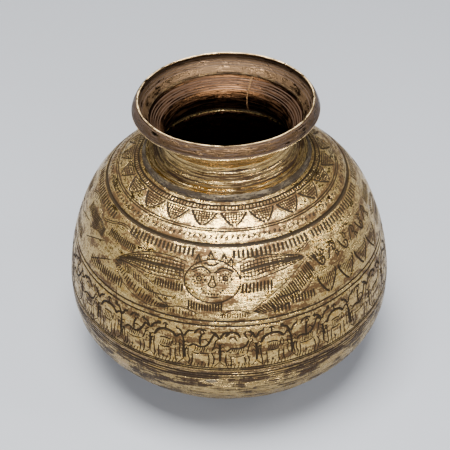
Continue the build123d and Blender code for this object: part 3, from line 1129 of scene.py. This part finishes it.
def cutFramedStrip(work, look):
    first, last = look["first"], look["last"]
    for level in (look["top"], look["top"] - 1.1, look["foot"] + 1.1, look["foot"]):
        count = round((last - first) / 0.85)
        for i in range(count):
            start = front + first + (last - first) * i / count
            cutLine(work, [(start, level), (start + 0.3, level), (start + 0.6, level)], 0.5, 0.18)
    middle = (look["top"] + look["foot"]) / 2
    count = 6
    for i in range(count):
        angle = first + (last - first) * (i + 0.6) / count
        spot = pen(angle, middle)
        flip = 1 if i % 2 else -1
        curl = [(-3.4, -3.0), (-2.0, 0.6), (0.2, 3.4), (2.2, 2.2), (1.8, 0.0), (0.3, 0.2), (0.5, 1.4)]
        drawn(work, spot, [(x, y * flip) for x, y in curl], 0.9, 0.28)
        drawn(work, spot, [(x * 0.8 + 0.9, -y * flip * 0.8 - flip * 1.2) for x, y in curl[2:]], 0.7, 0.24)
        for k in range(3):
            punch(work, *spot(-2.6 + 0.9 * k, flip * (3.4 - 0.5 * k)), 0.8, 0.24)
        punch(work, *spot(3.4, -flip * 2.6), 1.1, 0.28)
    for k in range(4):
        barb = [(31.2 + k * 1.3, 60.6), (32.9 + k * 1.2, 57.6), (34.2 + k * 0.9, 54.8)]
        cutLine(work, fromFront(barb), 0.95, 0.28)
    pitch = (last - first) / look["teeth"]
    for i in range(look["teeth"]):
        left = first + i * pitch
        tip = left + pitch * 0.46
        top = look["foot"] - 1.0
        for corner in (left + 0.2, left + pitch - 0.4):
            way = [(front + corner + (tip - corner) * share, top - (top - look["teethTip"]) * fall)
                   for share, fall in ((0, 0), (0.3, 0.42), (0.68, 0.82), (0.98, 1.0))]
            cutLine(work, smoothed(way, 3), 1.0, 0.3)
        for k in range(1, look["hatch"]):
            share = k / look["hatch"]
            angle = front + left + pitch * share
            depth = share / 0.46 if share < 0.46 else (1 - share) / 0.54
            drop = (top - look["teethTip"]) * depth ** 1.25
            cutLine(work, [(angle, top - 0.2), (angle + 0.25, top - 0.9 * drop)], 0.5, 0.2)


# a row of animals, riders and trees
frieze = {
    "floor": 11.0,
    "pitch": 12.0,
}
elephantLines = [
    ([(-6.2, 12.6), (-4.6, 16.0), (-0.8, 17.4), (3.0, 16.6), (5.2, 14.2)], 1.25),
    ([(5.0, 14.6), (6.6, 16.4), (8.2, 15.4), (8.7, 12.2), (8.4, 8.2), (9.3, 5.4)], 0.9),
    ([(6.2, 12.6), (6.9, 9.6), (6.6, 6.2), (7.4, 4.0)], 0.5),
    ([(-6.3, 12.6), (-6.6, 8.2), (-6.0, 3.4), (-6.2, 0.6)], 0.6),
    ([(-4.0, 8.2), (-3.8, 4.0), (-4.0, 0.6)], 0.6),
    ([(2.3, 8.2), (2.1, 4.0), (2.3, 0.6)], 0.6),
    ([(4.7, 9.2), (4.5, 4.6), (4.8, 0.6)], 0.6),
    ([(-3.8, 8.3), (-0.8, 7.8), (2.3, 8.3)], 0.7),
    ([(3.6, 14.0), (4.9, 11.8), (4.3, 9.6), (3.2, 11.0), (3.6, 14.0)], 0.45),
    ([(-3.8, 12.4), (-0.6, 12.9), (2.4, 12.2)], 0.8),
    ([(-7.0, 12.0), (-7.9, 9.0), (-7.5, 6.4)], 0.5),
    ([(-0.8, 17.4), (-0.7, 20.4)], 0.8),
    ([(-2.3, 19.4), (-0.7, 20.8), (0.9, 19.4)], 0.7),
]
horseLines = [
    ([(-6.4, 10.6), (-4.0, 12.4), (-0.6, 11.4), (2.4, 12.4), (4.4, 15.4), (6.2, 18.2), (8.6, 16.4)], 1.0),
    ([(8.5, 16.2), (6.8, 14.9), (5.9, 11.6), (4.6, 8.8)], 0.6),
    ([(-5.4, 8.0), (-1.0, 7.3), (4.4, 8.4)], 0.6),
    ([(-6.2, 10.4), (-6.6, 6.0), (-5.6, 3.0), (-6.6, 0.4)], 0.6),
    ([(-4.6, 7.8), (-4.2, 4.0), (-4.8, 0.4)], 0.6),
    ([(3.0, 7.9), (3.8, 4.0), (3.0, 0.4)], 0.6),
    ([(4.7, 8.6), (6.2, 5.0), (5.4, 0.8)], 0.6),
    ([(-6.8, 10.6), (-8.0, 7.4), (-7.4, 3.2)], 0.7),
    ([(-0.6, 11.6), (-0.9, 15.4), (0.2, 18.4)], 1.0),
    ([(-0.6, 14.8), (1.6, 15.4), (3.4, 14.0)], 0.6),
    ([(-0.9, 18.9), (0.2, 20.1), (1.3, 18.9), (0.2, 17.9), (-0.9, 18.9)], 0.55),
    ([(-3.6, 18.0), (-2.0, 20.4), (0.2, 20.9), (2.8, 20.0)], 0.9),
]
deerLines = [
    ([(-5.8, 8.8), (-3.4, 11.0), (0.8, 10.8), (4.0, 12.4), (5.4, 15.8)], 0.9),
    ([(5.4, 15.8), (7.2, 15.4), (6.0, 13.4), (4.9, 10.0), (4.0, 7.6)], 0.55),
    ([(-4.8, 6.8), (-0.6, 6.2), (3.9, 7.4)], 0.6),
    ([(-5.7, 8.6), (-6.2, 4.0), (-5.4, 0.4)], 0.55),
    ([(-4.0, 6.6), (-3.4, 3.4), (-4.2, 0.4)], 0.55),
    ([(2.6, 6.8), (3.2, 3.4), (2.4, 0.4)], 0.55),
    ([(4.2, 7.4), (5.2, 3.8), (4.4, 0.6)], 0.55),
    ([(5.2, 16.0), (3.6, 18.4), (4.4, 20.9)], 0.65),
    ([(5.7, 16.2), (6.8, 18.6), (6.2, 21.0)], 0.65),
    ([(4.2, 18.6), (2.4, 19.6)], 0.5),
    ([(6.6, 18.4), (8.2, 19.2)], 0.5),
    ([(-6.4, 17.2), (-3.6, 19.8), (-0.4, 19.2), (1.4, 16.6)], 1.2),
    ([(-4.6, 15.8), (-3.2, 17.2), (-1.2, 16.6), (-0.2, 14.8)], 0.6),
]


def cutFrieze(work, look, dice):
    kinds = [elephantLines, horseLines, deerLines, elephantLines, horseLines]
    count = round(180 / look["pitch"])
    for i in range(count):
        angle = (i + 0.44) * look["pitch"] - front
        spot = pen(angle, look["floor"], 0.98 + dice.uniform(-0.03, 0.03))
        for points, width in kinds[i % len(kinds)]:
            shaken = [(x + dice.uniform(-0.16, 0.16), y + dice.uniform(-0.16, 0.16)) for x, y in points]
            drawn(work, spot, shaken, width, 0.2 + 0.09 * width, 3)
        for k in range(7):
            x = -5.6 + 1.7 * k
            drawn(work, spot, [(x, -0.9), (x + 0.5, 0.8), (x + 0.9, 2.0)], 0.4, 0.18)
        for k in range(6):
            x = -3.2 + 1.1 * k
            drawn(work, spot, [(x, 9.2), (x + 0.4, 10.3), (x + 0.5, 11.4)], 0.42, 0.18)
        post = pen(angle + look["pitch"] * (0.5 if i < count - 1 else 0.3), look["floor"])
        drawn(work, post, [(0, 3.0), (0.15, 8.0), (0, 13.4)], 1.0, 0.3)
        for side in (-1, 1):
            for k in range(3):
                branch = [(0, 12.0 - 2.0 * k), (side * 1.5, 13.4 - 2.0 * k), (side * 2.3, 12.6 - 2.2 * k)]
                drawn(work, post, branch, 0.45, 0.2)
            drawn(work, post, [(side * 0.2, 15.6), (side * 1.7, 18.4), (side * 3.6, 19.2)], 1.0, 0.26)
            drawn(work, post, [(0, 3.2), (side * 1.6, 1.6), (side * 2.9, 0.2)], 0.45, 0.2)


shoulderTop = 91.7           # where the solder's edge lies
# ring lines: place, width, depth; the first row is measured down from the shoulder's top
turnedLines = [(1.6, 0.7, 0.3), (4.2, 0.35, 0.14), (13.2, 0.6, 0.26), (14.3, 0.6, 0.26), (20.9, 1.5, 0.5)]
bellyLines = [(33.3, 0.85, 0.34), (35.7, 0.85, 0.34)]
girthLines = [(9.35, 0.75, 0.25), (10.4, 0.7, 0.22)]


def engraveUpperBowl():
    work = []
    dice = random.Random(11)
    for drop, width, depth in turnedLines:
        ringLine(work, shoulderTop - drop, width, depth, 0.06)
    ringLine(work, 71.6, 0.5, 0.2, 0.05)
    ringLines(work, 0.0, bellyLines, 0.22)
    ringLines(work, 0.0, girthLines, 0.12)
    cutShoulderBands(work, shoulderBands, dice)
    cutFigureBand(work, figureBand)
    cutFramedStrip(work, framedStrip)
    cutFrieze(work, frieze, dice)
    return work


def crossing(centreA, radiusA, centreB, radiusB, side):
    # where two circles meet, on the left (1) or the right (-1) of the way from A to B
    gap = math.dist(centreA, centreB)
    along = (gap ** 2 + radiusA ** 2 - radiusB ** 2) / (2 * gap)
    off = math.sqrt(radiusA ** 2 - along ** 2) * side
    ux = (centreB[0] - centreA[0]) / gap
    uz = (centreB[1] - centreA[1]) / gap
    return (centreA[0] + ux * along - uz * off, centreA[1] + uz * along + ux * off)


def bearing(centre, point):
    return math.degrees(math.atan2(point[1] - centre[1], point[0] - centre[0]))


# girth joint
joint = {
    "rise": 8.0,               # above the widest ring
    "gap": 1.0,
    "lap": 5.0,
    "joggle": 3.0,
}
flankStep = math.degrees(1 / wall["flankArc"])
jointAngle = math.degrees(math.asin(joint["rise"] / wall["flankArc"]))
jointLow = jointAngle - joint["gap"] / 2 * flankStep
jointHigh = jointAngle + joint["gap"] / 2 * flankStep
lapTop = jointHigh + joint["lap"] * flankStep
lapOuter = wall["thickness"] + wall["lapFilm"]
lapInner = lapOuter + wall["thickness"]

# upper bowl
upperBowl = {
    "openingAngle": 79.39,     # normal of the shoulder at the edge of the neck opening
    "cell": 2.4,
    "insideRow": 4.0,
}
opening = upperBowl["openingAngle"]
sheetMetal = wall["thickness"]
upperOutline = Outline([
    (wallWay(0, jointHigh, opening), upperBowl["cell"]),
    (straight(wallPoint(0, opening), wallPoint(sheetMetal, opening)), 0.8),
    (wallWay(sheetMetal, opening, jointHigh), upperBowl["insideRow"]),
    (straight(wallPoint(sheetMetal, jointHigh), wallPoint(0, jointHigh)), 0.8),
])
upperOuter = upperOutline.joins[1]
upperSheet = flatSheet("upperSheet", upperOutline, 180, upperBowl["cell"], engraveUpperBowl(),
                       base=-wallLevel(jointHigh), outerRun=upperOuter, giveStart=1.0,
                       giveEnd=upperOuter - 10)
roundPiece("upperBowl", "upper_bowl", bodyBrass, upperOutline, upperSheet, upperOuter,
           copies=2, firstAngle=-90 - front, dents=(0.35, 24.0), seed=3.0)
print("upper bowl made")

# lower bowl, from the middle of the base out, up and back inside
lowerBowl = {
    "ringWidth": 7.0,
    "dishRise": 1.2,
    "cell": 2.6,
    "insideRow": 4.0,
}


def dishWay(rise, radius):
    bend = (radius ** 2 + lowerBowl["dishRise"] ** 2) / (2 * lowerBowl["dishRise"])
    centre = (radius, rise + bend)
    return arc(centre, bend, bearing(centre, (0, rise + lowerBowl["dishRise"])), -90, 2.0)


baseAngle = math.degrees(math.asin(-underCentre[1] / wall["underArc"]))
insideArc = wall["underArc"] - sheetMetal
baseInside = math.degrees(math.asin((sheetMetal - underCentre[1]) / insideArc))
ringOuter = wallPoint(0, baseAngle)
dishRadius = ringOuter[0] - lowerBowl["ringWidth"]
joggleAngle = jointLow - joint["joggle"] * flankStep
insideCorner = wallPoint(sheetMetal, baseInside)
lowerOutline = Outline([
    (dishWay(0, dishRadius), 3.0),
    (straight((dishRadius, 0), ringOuter), 2.4),
    (wallWay(0, baseAngle, 0), lowerBowl["cell"]),
    (wallWay(0, 0, jointLow), lowerBowl["cell"]),
    (straight(wallPoint(0, jointLow), wallPoint(lapOuter, jointLow)), 0.9),
    (wallWay(lapOuter, jointLow, lapTop), 3.0),
    (straight(wallPoint(lapOuter, lapTop), wallPoint(lapInner, lapTop)), 1.6),
    (wallWay(lapInner, lapTop, joggleAngle), 3.0),
    (straight(wallPoint(lapInner, joggleAngle), wallPoint(sheetMetal, joggleAngle)), 1.0),
    (wallWay(sheetMetal, joggleAngle, baseInside), lowerBowl["insideRow"]),
    (straight(insideCorner, (dishRadius, sheetMetal)), 3.0),
    (dishWay(sheetMetal, dishRadius)[::-1], 4.0),
])
lowerOuter = lowerOutline.joins[4]
widestRun = lowerOutline.joins[3]


scouring = {
    "turned": [(6.5, 0.7, 0.22), (4.9, 0.6, 0.18), (3.4, 0.5, 0.14), (-24.0, 0.5, 0.16), (-27.0, 0.5, 0.14)],
    "count": 150,
    "angles": (3, 170),
    "levels": (-40, 2.5),
    "lengths": (2.0, 8.0),
    "leans": (-0.5, 0.5),
    "widths": (0.25, 0.45),
    "depth": 0.08,
}


def cutLowerBowl(look):
    work = []
    dice = random.Random(5)
    ringLines(work, 0.0, look["turned"], 0.15)
    for i in range(look["count"]):
        # scratches left by scouring
        angle = dice.uniform(*look["angles"])
        level = dice.uniform(*look["levels"])
        span = dice.uniform(*look["lengths"])
        lean = dice.uniform(*look["leans"])
        way = [(angle, level), (angle + span / 2, level + lean), (angle + span, level + lean * 1.4)]
        cutLine(work, way, dice.uniform(*look["widths"]), look["depth"])
    return work


lowerSheet = flatSheet("lowerSheet", lowerOutline, 180, lowerBowl["cell"], cutLowerBowl(scouring),
                       base=widestRun, outerRun=lowerOuter, giveStart=lowerOutline.joins[2] + 1.0,
                       giveEnd=lowerOuter - 1.0)
roundPiece("lowerBowl", "lower_bowl", bowlBrass, lowerOutline, lowerSheet, lowerOuter,
           copies=2, firstAngle=-180, dents=(0.5, 20.0), seed=8.0)
print("lower bowl made")

# brazing metal in the girth joint
girthOutline = Outline([
    (wallWay(0, jointLow, jointHigh), 0.25),
    (straight(wallPoint(0, jointHigh), wallPoint(sheetMetal, jointHigh)), 1.6),
    (wallWay(sheetMetal, jointHigh, lapTop), 2.5),
    (straight(wallPoint(sheetMetal, lapTop), wallPoint(lapOuter, lapTop)), 0.5),
    (wallWay(lapOuter, lapTop, jointLow), 2.5),
    (straight(wallPoint(lapOuter, jointLow), wallPoint(0, jointLow)), 1.8),
])
girthPits = punchRow(21, 180, 170, joint["gap"] / 2, (-0.2, 0.2), (0.3, 0.6), 0.14)
girthSheet = flatSheet("girthSheet", girthOutline, 180, 2.0, girthPits, outerRun=joint["gap"])
roundPiece("girthBraze", "girth_braze", brazeMetal, girthOutline, girthSheet, joint["gap"],
           copies=2, firstAngle=-180)

# neck: foot flare, throat and funnel, rolled from a strip
neck = {
    "throatRadius": 29.3,
    "thickness": 1.8,
    "footFlare": 7.85,
    "throatFlare": 3.0,
    "throatLength": 0.8,
    "funnelTurn": 46.0,
    "footEdge": 2.0,
    "lapAngle": 69.0,
    "lapWidth": 0.8,
    "film": 0.3,
    "reach": 4.5,
    "bead": 2.0,
    "rimFold": 42.4,
    # ring lines: share of the foot flare, or millimetres up the outside or the inside of the funnel
    "flareLines": [(0.16, 0.5, 0.16), (0.34, 0.9, 0.3), (0.44, 0.5, 0.16),
                   (0.62, 0.9, 0.28), (0.74, 0.5, 0.18), (0.94, 0.8, 0.25)],
    "funnelLines": [(1.2, 0.5, 0.14), (2.6, 0.5, 0.14), (4.0, 0.5, 0.14)],
    "insideLines": [(9.6, 0.45, 0.12), (11.0, 0.45, 0.12), (12.2, 0.45, 0.12),
                    (13.6, 0.45, 0.12), (14.8, 0.45, 0.12)],
}
throatOuter = neck["throatRadius"] + neck["thickness"]
footRadius = throatOuter + neck["footFlare"]
filmArc = wall["shoulderArc"] + neck["film"]
footLow = shoulderCentre[1] + math.sqrt(filmArc ** 2 - (footRadius - shoulderCentre[0]) ** 2)
throatHeight = footLow + neck["footEdge"] + neck["footFlare"]
footCentre = (footRadius, throatHeight)
throatCentre = (throatOuter + neck["throatFlare"], throatHeight + neck["throatLength"])
funnelSlope = 90 - neck["funnelTurn"]
funnelStart = polar(throatCentre, neck["throatFlare"] + neck["thickness"], 180 - neck["funnelTurn"])
funnelStartOuter = polar(throatCentre, neck["throatFlare"], 180 - neck["funnelTurn"])


def funnelPoint(radius):
    return polar(funnelStart, (radius - funnelStart[0]) / math.cos(math.radians(funnelSlope)), funnelSlope)


rimFold = funnelPoint(neck["rimFold"])
collarEnd = polar(rimFold, neck["thickness"], funnelSlope - 90)
innerFlare = neck["footFlare"] + neck["thickness"]
footInside = crossing(footCentre, innerFlare, shoulderCentre, filmArc, -1)
insideBearing = bearing(footCentre, footInside) % 360
throatTop = throatHeight + neck["throatLength"]
funnelArc = neck["throatFlare"] + neck["thickness"]
filmEnd = bearing(shoulderCentre, footInside)
neckOutline = Outline([
    (straight((footRadius, footLow), (footRadius, footLow + neck["footEdge"])), 0.5),
    (arc(footCentre, neck["footFlare"], 270, 180), 1.0),
    (straight((throatOuter, throatHeight), (throatOuter, throatTop)), 0.4),
    (arc(throatCentre, neck["throatFlare"], 180, 180 - neck["funnelTurn"], 0.3), 0.5),
    (straight(funnelStartOuter, collarEnd), 2.0),
    (straight(collarEnd, rimFold), 0.9),
    (straight(rimFold, funnelStart), 1.6),
    (arc(throatCentre, funnelArc, 180 - neck["funnelTurn"], 180, 0.3), 0.6),
    (straight((neck["throatRadius"], throatTop), (neck["throatRadius"], throatHeight)), 0.4),
    (arc(footCentre, innerFlare, 180, insideBearing), 1.2),
    (arc(shoulderCentre, filmArc, filmEnd, bearing(shoulderCentre, (footRadius, footLow))), 1.5),
])
neckOuter = neckOutline.joins[5]
funnelRun = neckOutline.joins[6]
lapTurn = math.degrees(neck["lapWidth"] / throatOuter)


def cutNeck(look, turn):
    work = []
    flareStart, flareEnd = neckOutline.joins[1:3]
    for share, width, depth in look["flareLines"]:
        ringLine(work, flareStart + (flareEnd - flareStart) * share, width, depth, 0.08, turn, 90)
    ringLines(work, neckOutline.joins[4], look["funnelLines"], 0.08, turn, 90)
    ringLines(work, funnelRun, look["insideLines"], 0.06, turn, 90)
    return work


stripTurn = 360 - lapTurn
neckSheet = flatSheet("neckSheet", neckOutline, stripTurn, 2.0, cutNeck(neck, stripTurn), outerRun=neckOuter,
                      giveStart=2.5, giveEnd=neckOuter - 3, capped=True)
roundPiece("neckCollar", "neck_collar", neckBrassPaintedHighlight, neckOutline, neckSheet, neckOuter,
           firstAngle=neck["lapAngle"] + lapTurn / 2, dents=(0.3, 14.0), seed=5.0)

lapSheet = flatSheet("lapSheet", neckOutline, lapTurn, 0.2, (), outerRun=neckOuter, capped=True)
for point in lapSheet.data.vertices:
    if 0.002 < point.co.x < math.radians(lapTurn) - 0.002:
        point.co.z += 0.16 * mm * (0.6 + 0.4 * math.sin(point.co.y / mm * 2.3))
roundPiece("neckLapBraze", "neck_lap_braze", brazeMetal, neckOutline, lapSheet, neckOuter,
           firstAngle=neck["lapAngle"] - lapTurn / 2)

# soft solder round the neck's foot
beadCentre = (footRadius, footLow)
beadToe = crossing(shoulderCentre, wall["shoulderArc"], beadCentre, neck["bead"], -1)
filmInner = footRadius - neck["reach"]
filmAngle = math.degrees(math.acos((filmInner - shoulderCentre[0]) / wall["shoulderArc"]))
filmUpper = math.degrees(math.acos((filmInner - shoulderCentre[0]) / filmArc))
solderOutline = Outline([
    (arc(shoulderCentre, wall["shoulderArc"], filmAngle, bearing(shoulderCentre, beadToe)), 1.5),
    (arc(beadCentre, neck["bead"], bearing(beadCentre, beadToe), 90, 0.2), 0.5),
    (straight((footRadius, footLow + neck["bead"]), beadCentre), 1.0),
    (arc(shoulderCentre, filmArc, bearing(shoulderCentre, beadCentre), filmUpper), 1.5),
    (straight(polar(shoulderCentre, filmArc, filmUpper),
              polar(shoulderCentre, wall["shoulderArc"], filmAngle)), 0.3),
])
beadRun = solderOutline.joins[1]
solderPits = punchRow(9, 360, 260, beadRun, (0.5, 2.9), (0.7, 1.5), (0.1, 0.4))
solderSheet = flatSheet("solderSheet", solderOutline, 360, 1.2, solderPits, giveStart=beadRun + 0.1,
                        giveEnd=solderOutline.joins[2])
roundPiece("neckSolder", "neck_solder", softSolder, solderOutline, solderSheet, dents=(0.5, 5.0),
           seed=2.0, sharp=60)
print("neck made")

# mouth rim: a channel that lies in the funnel and stands up round the mouth
rim = {
    "foldRadius": 44.1,
    "thickness": 1.2,
    "flange": 37.5,
    "drop": 0.6,
    "lipRadius": 41.5,
    "lipRise": 5.8,
    "lipRound": 0.42,
    "bulge": 0.35,
    "bead": 1.1,
    "outsideLines": [(0.9, 0.5, 0.16), (5.4, 0.4, 0.1)],
    "insideLines": [(2.6, 0.4, 0.1), (4.4, 0.4, 0.1), (5.8, 0.4, 0.1), (7.2, 0.4, 0.1)],
    "scratches": 90,
}
rimLow = (rim["foldRadius"], rimFold[1] - rim["drop"])
lipTop = (rim["lipRadius"], rimLow[1] + rim["lipRise"])
lipOuter = tuple(t + 0.08 * (low - t) for t, low in zip(lipTop, rimLow))
lipInner = (lipOuter[0] - rim["thickness"], lipOuter[1] - rim["thickness"] / 5)
flangeEdge = funnelPoint(rim["flange"])
flangeTop = polar(flangeEdge, rim["thickness"], funnelSlope + 90)
foldTop = polar(rimFold, rim["thickness"], funnelSlope + 90)
foldInside = polar(foldTop, rim["thickness"] / 4, funnelSlope)
rimOutline = Outline([
    (straight(flangeEdge, rimFold), 1.8),
    (straight(rimFold, rimLow), 0.6),
    (bowed(rimLow, lipOuter, rim["bulge"]), 0.7),
    (bowed(lipOuter, lipInner, rim["lipRound"], 0.1), 0.3),
    (bowed(foldInside, lipInner, rim["bulge"])[::-1], 0.8),
    (straight(foldInside, flangeTop), 1.2),
    (straight(flangeTop, flangeEdge), 0.6),
])
foldRun, lipStart, lipEnd = rimOutline.joins[2:5]


def lipShare(run):
    # the lip moves with its sways, the fold and the flange stay where they are
    point = np.interp(run, rimOutline.runs, [z for r, z in rimOutline.points])
    return max(0.0, (point - rimFold[1] - 1.0) / rim["lipRise"])


def cutRim(look):
    work = []
    dice = random.Random(31)
    ringLines(work, foldRun, look["outsideLines"], 0.08, 360, 90)
    ringLines(work, lipEnd, look["insideLines"], 0.05, 360, 90)
    for i in range(look["scratches"]):
        angle = dice.uniform(2, 350)
        level = foldRun + dice.uniform(1.2, 5.2)
        scratch = [(angle, level), (angle + dice.uniform(2, 7), level + dice.uniform(-0.3, 0.3))]
        cutLine(work, scratch, 0.35, 0.07, ends="open")
    return work


# the fold and the lip: worn metal, painted pale as the highlights along these edges
wornAndGlintingEdges = [(foldRun + 0.1, 0.7), ((lipStart + lipEnd) / 2, 0.9)]
rimSheet = flatSheet("rimSheet", rimOutline, 360, 1.9, cutRim(rim), outerRun=lipEnd - 0.3,
                     giveStart=foldRun + 0.2, giveEnd=lipStart, sway=lipShare, rubbedAndGlinting=wornAndGlintingEdges)
roundPiece("mouthRim", "mouth_rim", rimBrass, rimOutline, rimSheet, lipEnd, dents=(0.28, 9.0),
           sways=(1.1, 0.9), seed=4.0)

brazeOutline = Outline([
    (straight(flangeEdge, polar(flangeEdge, rim["bead"], funnelSlope + 90)), 0.6),
    (arc(flangeEdge, rim["bead"], funnelSlope + 90, funnelSlope + 180, 0.15), 0.35),
    (straight(polar(flangeEdge, rim["bead"], funnelSlope + 180), flangeEdge), 0.6),
])
brazePits = punchRow(14, 360, 230, rim["bead"], (0.3, 1.5), (0.5, 1.1), (0.1, 0.3))
brazeSheet = flatSheet("brazeSheet", brazeOutline, 360, 1.0, brazePits, giveStart=brazeOutline.joins[1] - 1,
                       giveEnd=brazeOutline.joins[2] + 1)
roundPiece("rimBraze", "rim_braze", brazeMetal, brazeOutline, brazeSheet, dents=(0.45, 4.0),
           seed=6.0, sharp=60)
print("rim made")

# solder repair in the lower bowl
repair = {
    "angle": -96.6,
    "level": 2.0,
    "width": 10.3,
    "height": 3.5,
    "proud": 0.15,
    "inside": 0.4,
    "rings": 7,
    "around": 44,
}


def repairSheet(look, levelRun):
    # a closed pad, its edge a little ragged, from just proud of the wall to just inside it
    dice = random.Random(17)
    waves = [(dice.uniform(0, 6.28), k, dice.uniform(0.02, 0.05)) for k in (2, 3, 5, 8)]
    points = []
    faces = []
    rings, around = look["rings"], look["around"]
    for outside in (True, False):
        points.append((0.0, 0.0, 1.0 if outside else 0.0))
        for ring in range(1, rings + 1):
            share = ring / rings
            for k in range(around):
                turn = 2 * math.pi * k / around
                bite = sum(size * (1 + math.sin(turn * wave + shift)) for shift, wave, size in waves)
                reach = share * (0.93 - bite * share)
                lift = (1 - 0.75 * share ** 4) if outside else 0.0
                points.append((reach * math.cos(turn), reach * math.sin(turn), lift))
    half = 1 + rings * around
    for base in (0, half):
        for k in range(around):
            after = (k + 1) % around
            rows = [(base, base + 1 + k, base + 1 + after)]
            for ring in range(rings - 1):
                inner = base + 1 + ring * around
                outer = inner + around
                rows.append((inner + k, outer + k, outer + after, inner + after))
            faces += [row[::-1] if base else row for row in rows]
    for k in range(around):
        after = (k + 1) % around
        upper = 1 + (rings - 1) * around
        lower = upper + half
        faces.append((upper + k, lower + k, lower + after, upper + after))
    depth = sheetMetal + look["inside"]
    spots = []
    for x, y, lift in points:
        angle = x * look["width"] / 2 / wall["bellyRadius"]
        run = (levelRun + look["level"] + y * look["height"] / 2) * mm
        spots.append((angle, run, (lift * (look["proud"] + depth) - depth) * mm))
    values = {key: [0.0] * len(spots) for key in ("cut", "give", "inner", "sway", "grime", "rubAndGlint")}
    values["run"] = [spot[1] for spot in spots]
    return sheetObject("repairSheet", spots, faces, values)


roundPiece("repairPatch", "repair_solder", softSolder, lowerOutline, repairSheet(repair, widestRun),
           firstAngle=repair["angle"], sharp=60)
print("repair made")

# floor, light and camera
studioFloor = {
    "radius": 2.2,
    "near": (0.160, 0.170, 0.190, 1),
    "far": (0.62, 0.64, 0.67, 1),      # paler further out, where less light falls on it
    "paleFrom": 0.35,
    "paleTo": 2.0,
    "roughness": 0.75,
}


def layFloor(look):
    bpy.ops.mesh.primitive_circle_add(vertices=96, radius=look["radius"], fill_type="NGON")
    floor = bpy.context.object
    floor.name = "floor"
    paint = bpy.data.materials.new("floorPaint")
    paint.use_nodes = True
    tree = paint.node_tree
    shader = tree.nodes["Principled BSDF"]
    place = tree.nodes.new("ShaderNodeTexCoord").outputs["Object"]
    outward = placed(tree, "ShaderNodeVectorMath", {0: place}, operation="LENGTH")["Value"]
    share = ramp(tree, outward, look["paleFrom"], look["paleTo"], "SMOOTHSTEP")
    link(tree, mixColour(tree, share, look["near"], look["far"]), shader.inputs["Base Color"])
    shader.inputs["Roughness"].default_value = look["roughness"]
    floor.data.materials.append(paint)


layFloor(studioFloor)


def softbox(name, place, aim, size, watts, colour=(1, 1, 1)):
    lamp = bpy.data.lights.new(name, "AREA")
    lamp.shape = "RECTANGLE"
    lamp.size, lamp.size_y = size
    lamp.energy = watts
    lamp.color = colour
    piece = bpy.data.objects.new(name, lamp)
    piece.location = place
    piece.rotation_euler = (Vector(aim) - Vector(place)).to_track_quat("-Z", "Y").to_euler()
    bpy.context.scene.collection.objects.link(piece)


warmWhite = (1.0, 0.985, 0.95)
softbox("overheadSoftbox", (-0.08, -0.12, 1.3), (0, 0, 0.1), (0.8, 0.65), 108, warmWhite)
softbox("leftSoftbox", (-1.2, -0.5, 1.2), (0, 0, 0.1), (0.3, 0.4), 5)
softbox("rightSoftbox", (1.3, -0.3, 1.2), (0, 0, 0.1), (0.3, 0.5), 14)
softbox("frontSoftbox", (0.15, -1.4, 0.85), (0, 0, 0.08), (1.1, 0.3), 52, (1.0, 0.975, 0.965))
world = bpy.data.worlds.new("studio")
world.use_nodes = True
backdrop = world.node_tree.nodes["Background"].inputs
backdrop["Color"].default_value = (0.80, 0.83, 0.86, 1)
# pale where the camera looks past the floor, dim as a light
sight = world.node_tree.nodes.new("ShaderNodeLightPath").outputs["Is Camera Ray"]
link(world.node_tree, calc(world.node_tree, "MULTIPLY_ADD", sight, 0.8, 0.08), backdrop["Strength"])
bpy.context.scene.world = world

viewpoint = {
    "distance": 0.5362,      # from the middle of the widest ring
    "elevation": 41.28,
    "lens": 80.9,
    "aimUp": 2.435,          # degrees that the middle of the view lies above and beside that point
    "aimRight": 0.185,
    "roll": -1.172,
}


def aimCamera(look):
    rise = math.radians(look["elevation"])
    middle = Vector((0, 0, wall["bellyHeight"] * mm))
    place = middle + look["distance"] * Vector((0, -math.cos(rise), math.sin(rise)))
    pitch = math.radians(look["elevation"] - look["aimUp"])
    ahead = Vector((0, math.cos(pitch), -math.sin(pitch)))
    above = Vector((0, math.sin(pitch), math.cos(pitch)))
    yaw = -math.radians(look["aimRight"])
    forward = math.cos(yaw) * ahead + math.sin(yaw) * Vector((1, 0, 0))
    side = -math.sin(yaw) * ahead + math.cos(yaw) * Vector((1, 0, 0))
    roll = math.radians(look["roll"])
    across = math.cos(roll) * side + math.sin(roll) * above
    up = -math.sin(roll) * side + math.cos(roll) * above
    camera = bpy.data.cameras.new("camera")
    camera.lens = look["lens"]
    camera.sensor_width = 36
    piece = bpy.data.objects.new("camera", camera)
    piece.matrix_world = Matrix((across, up, -forward)).transposed().to_4x4()
    piece.location = place
    bpy.context.scene.collection.objects.link(piece)
    bpy.context.scene.camera = piece


aimCamera(viewpoint)
print("stage set")
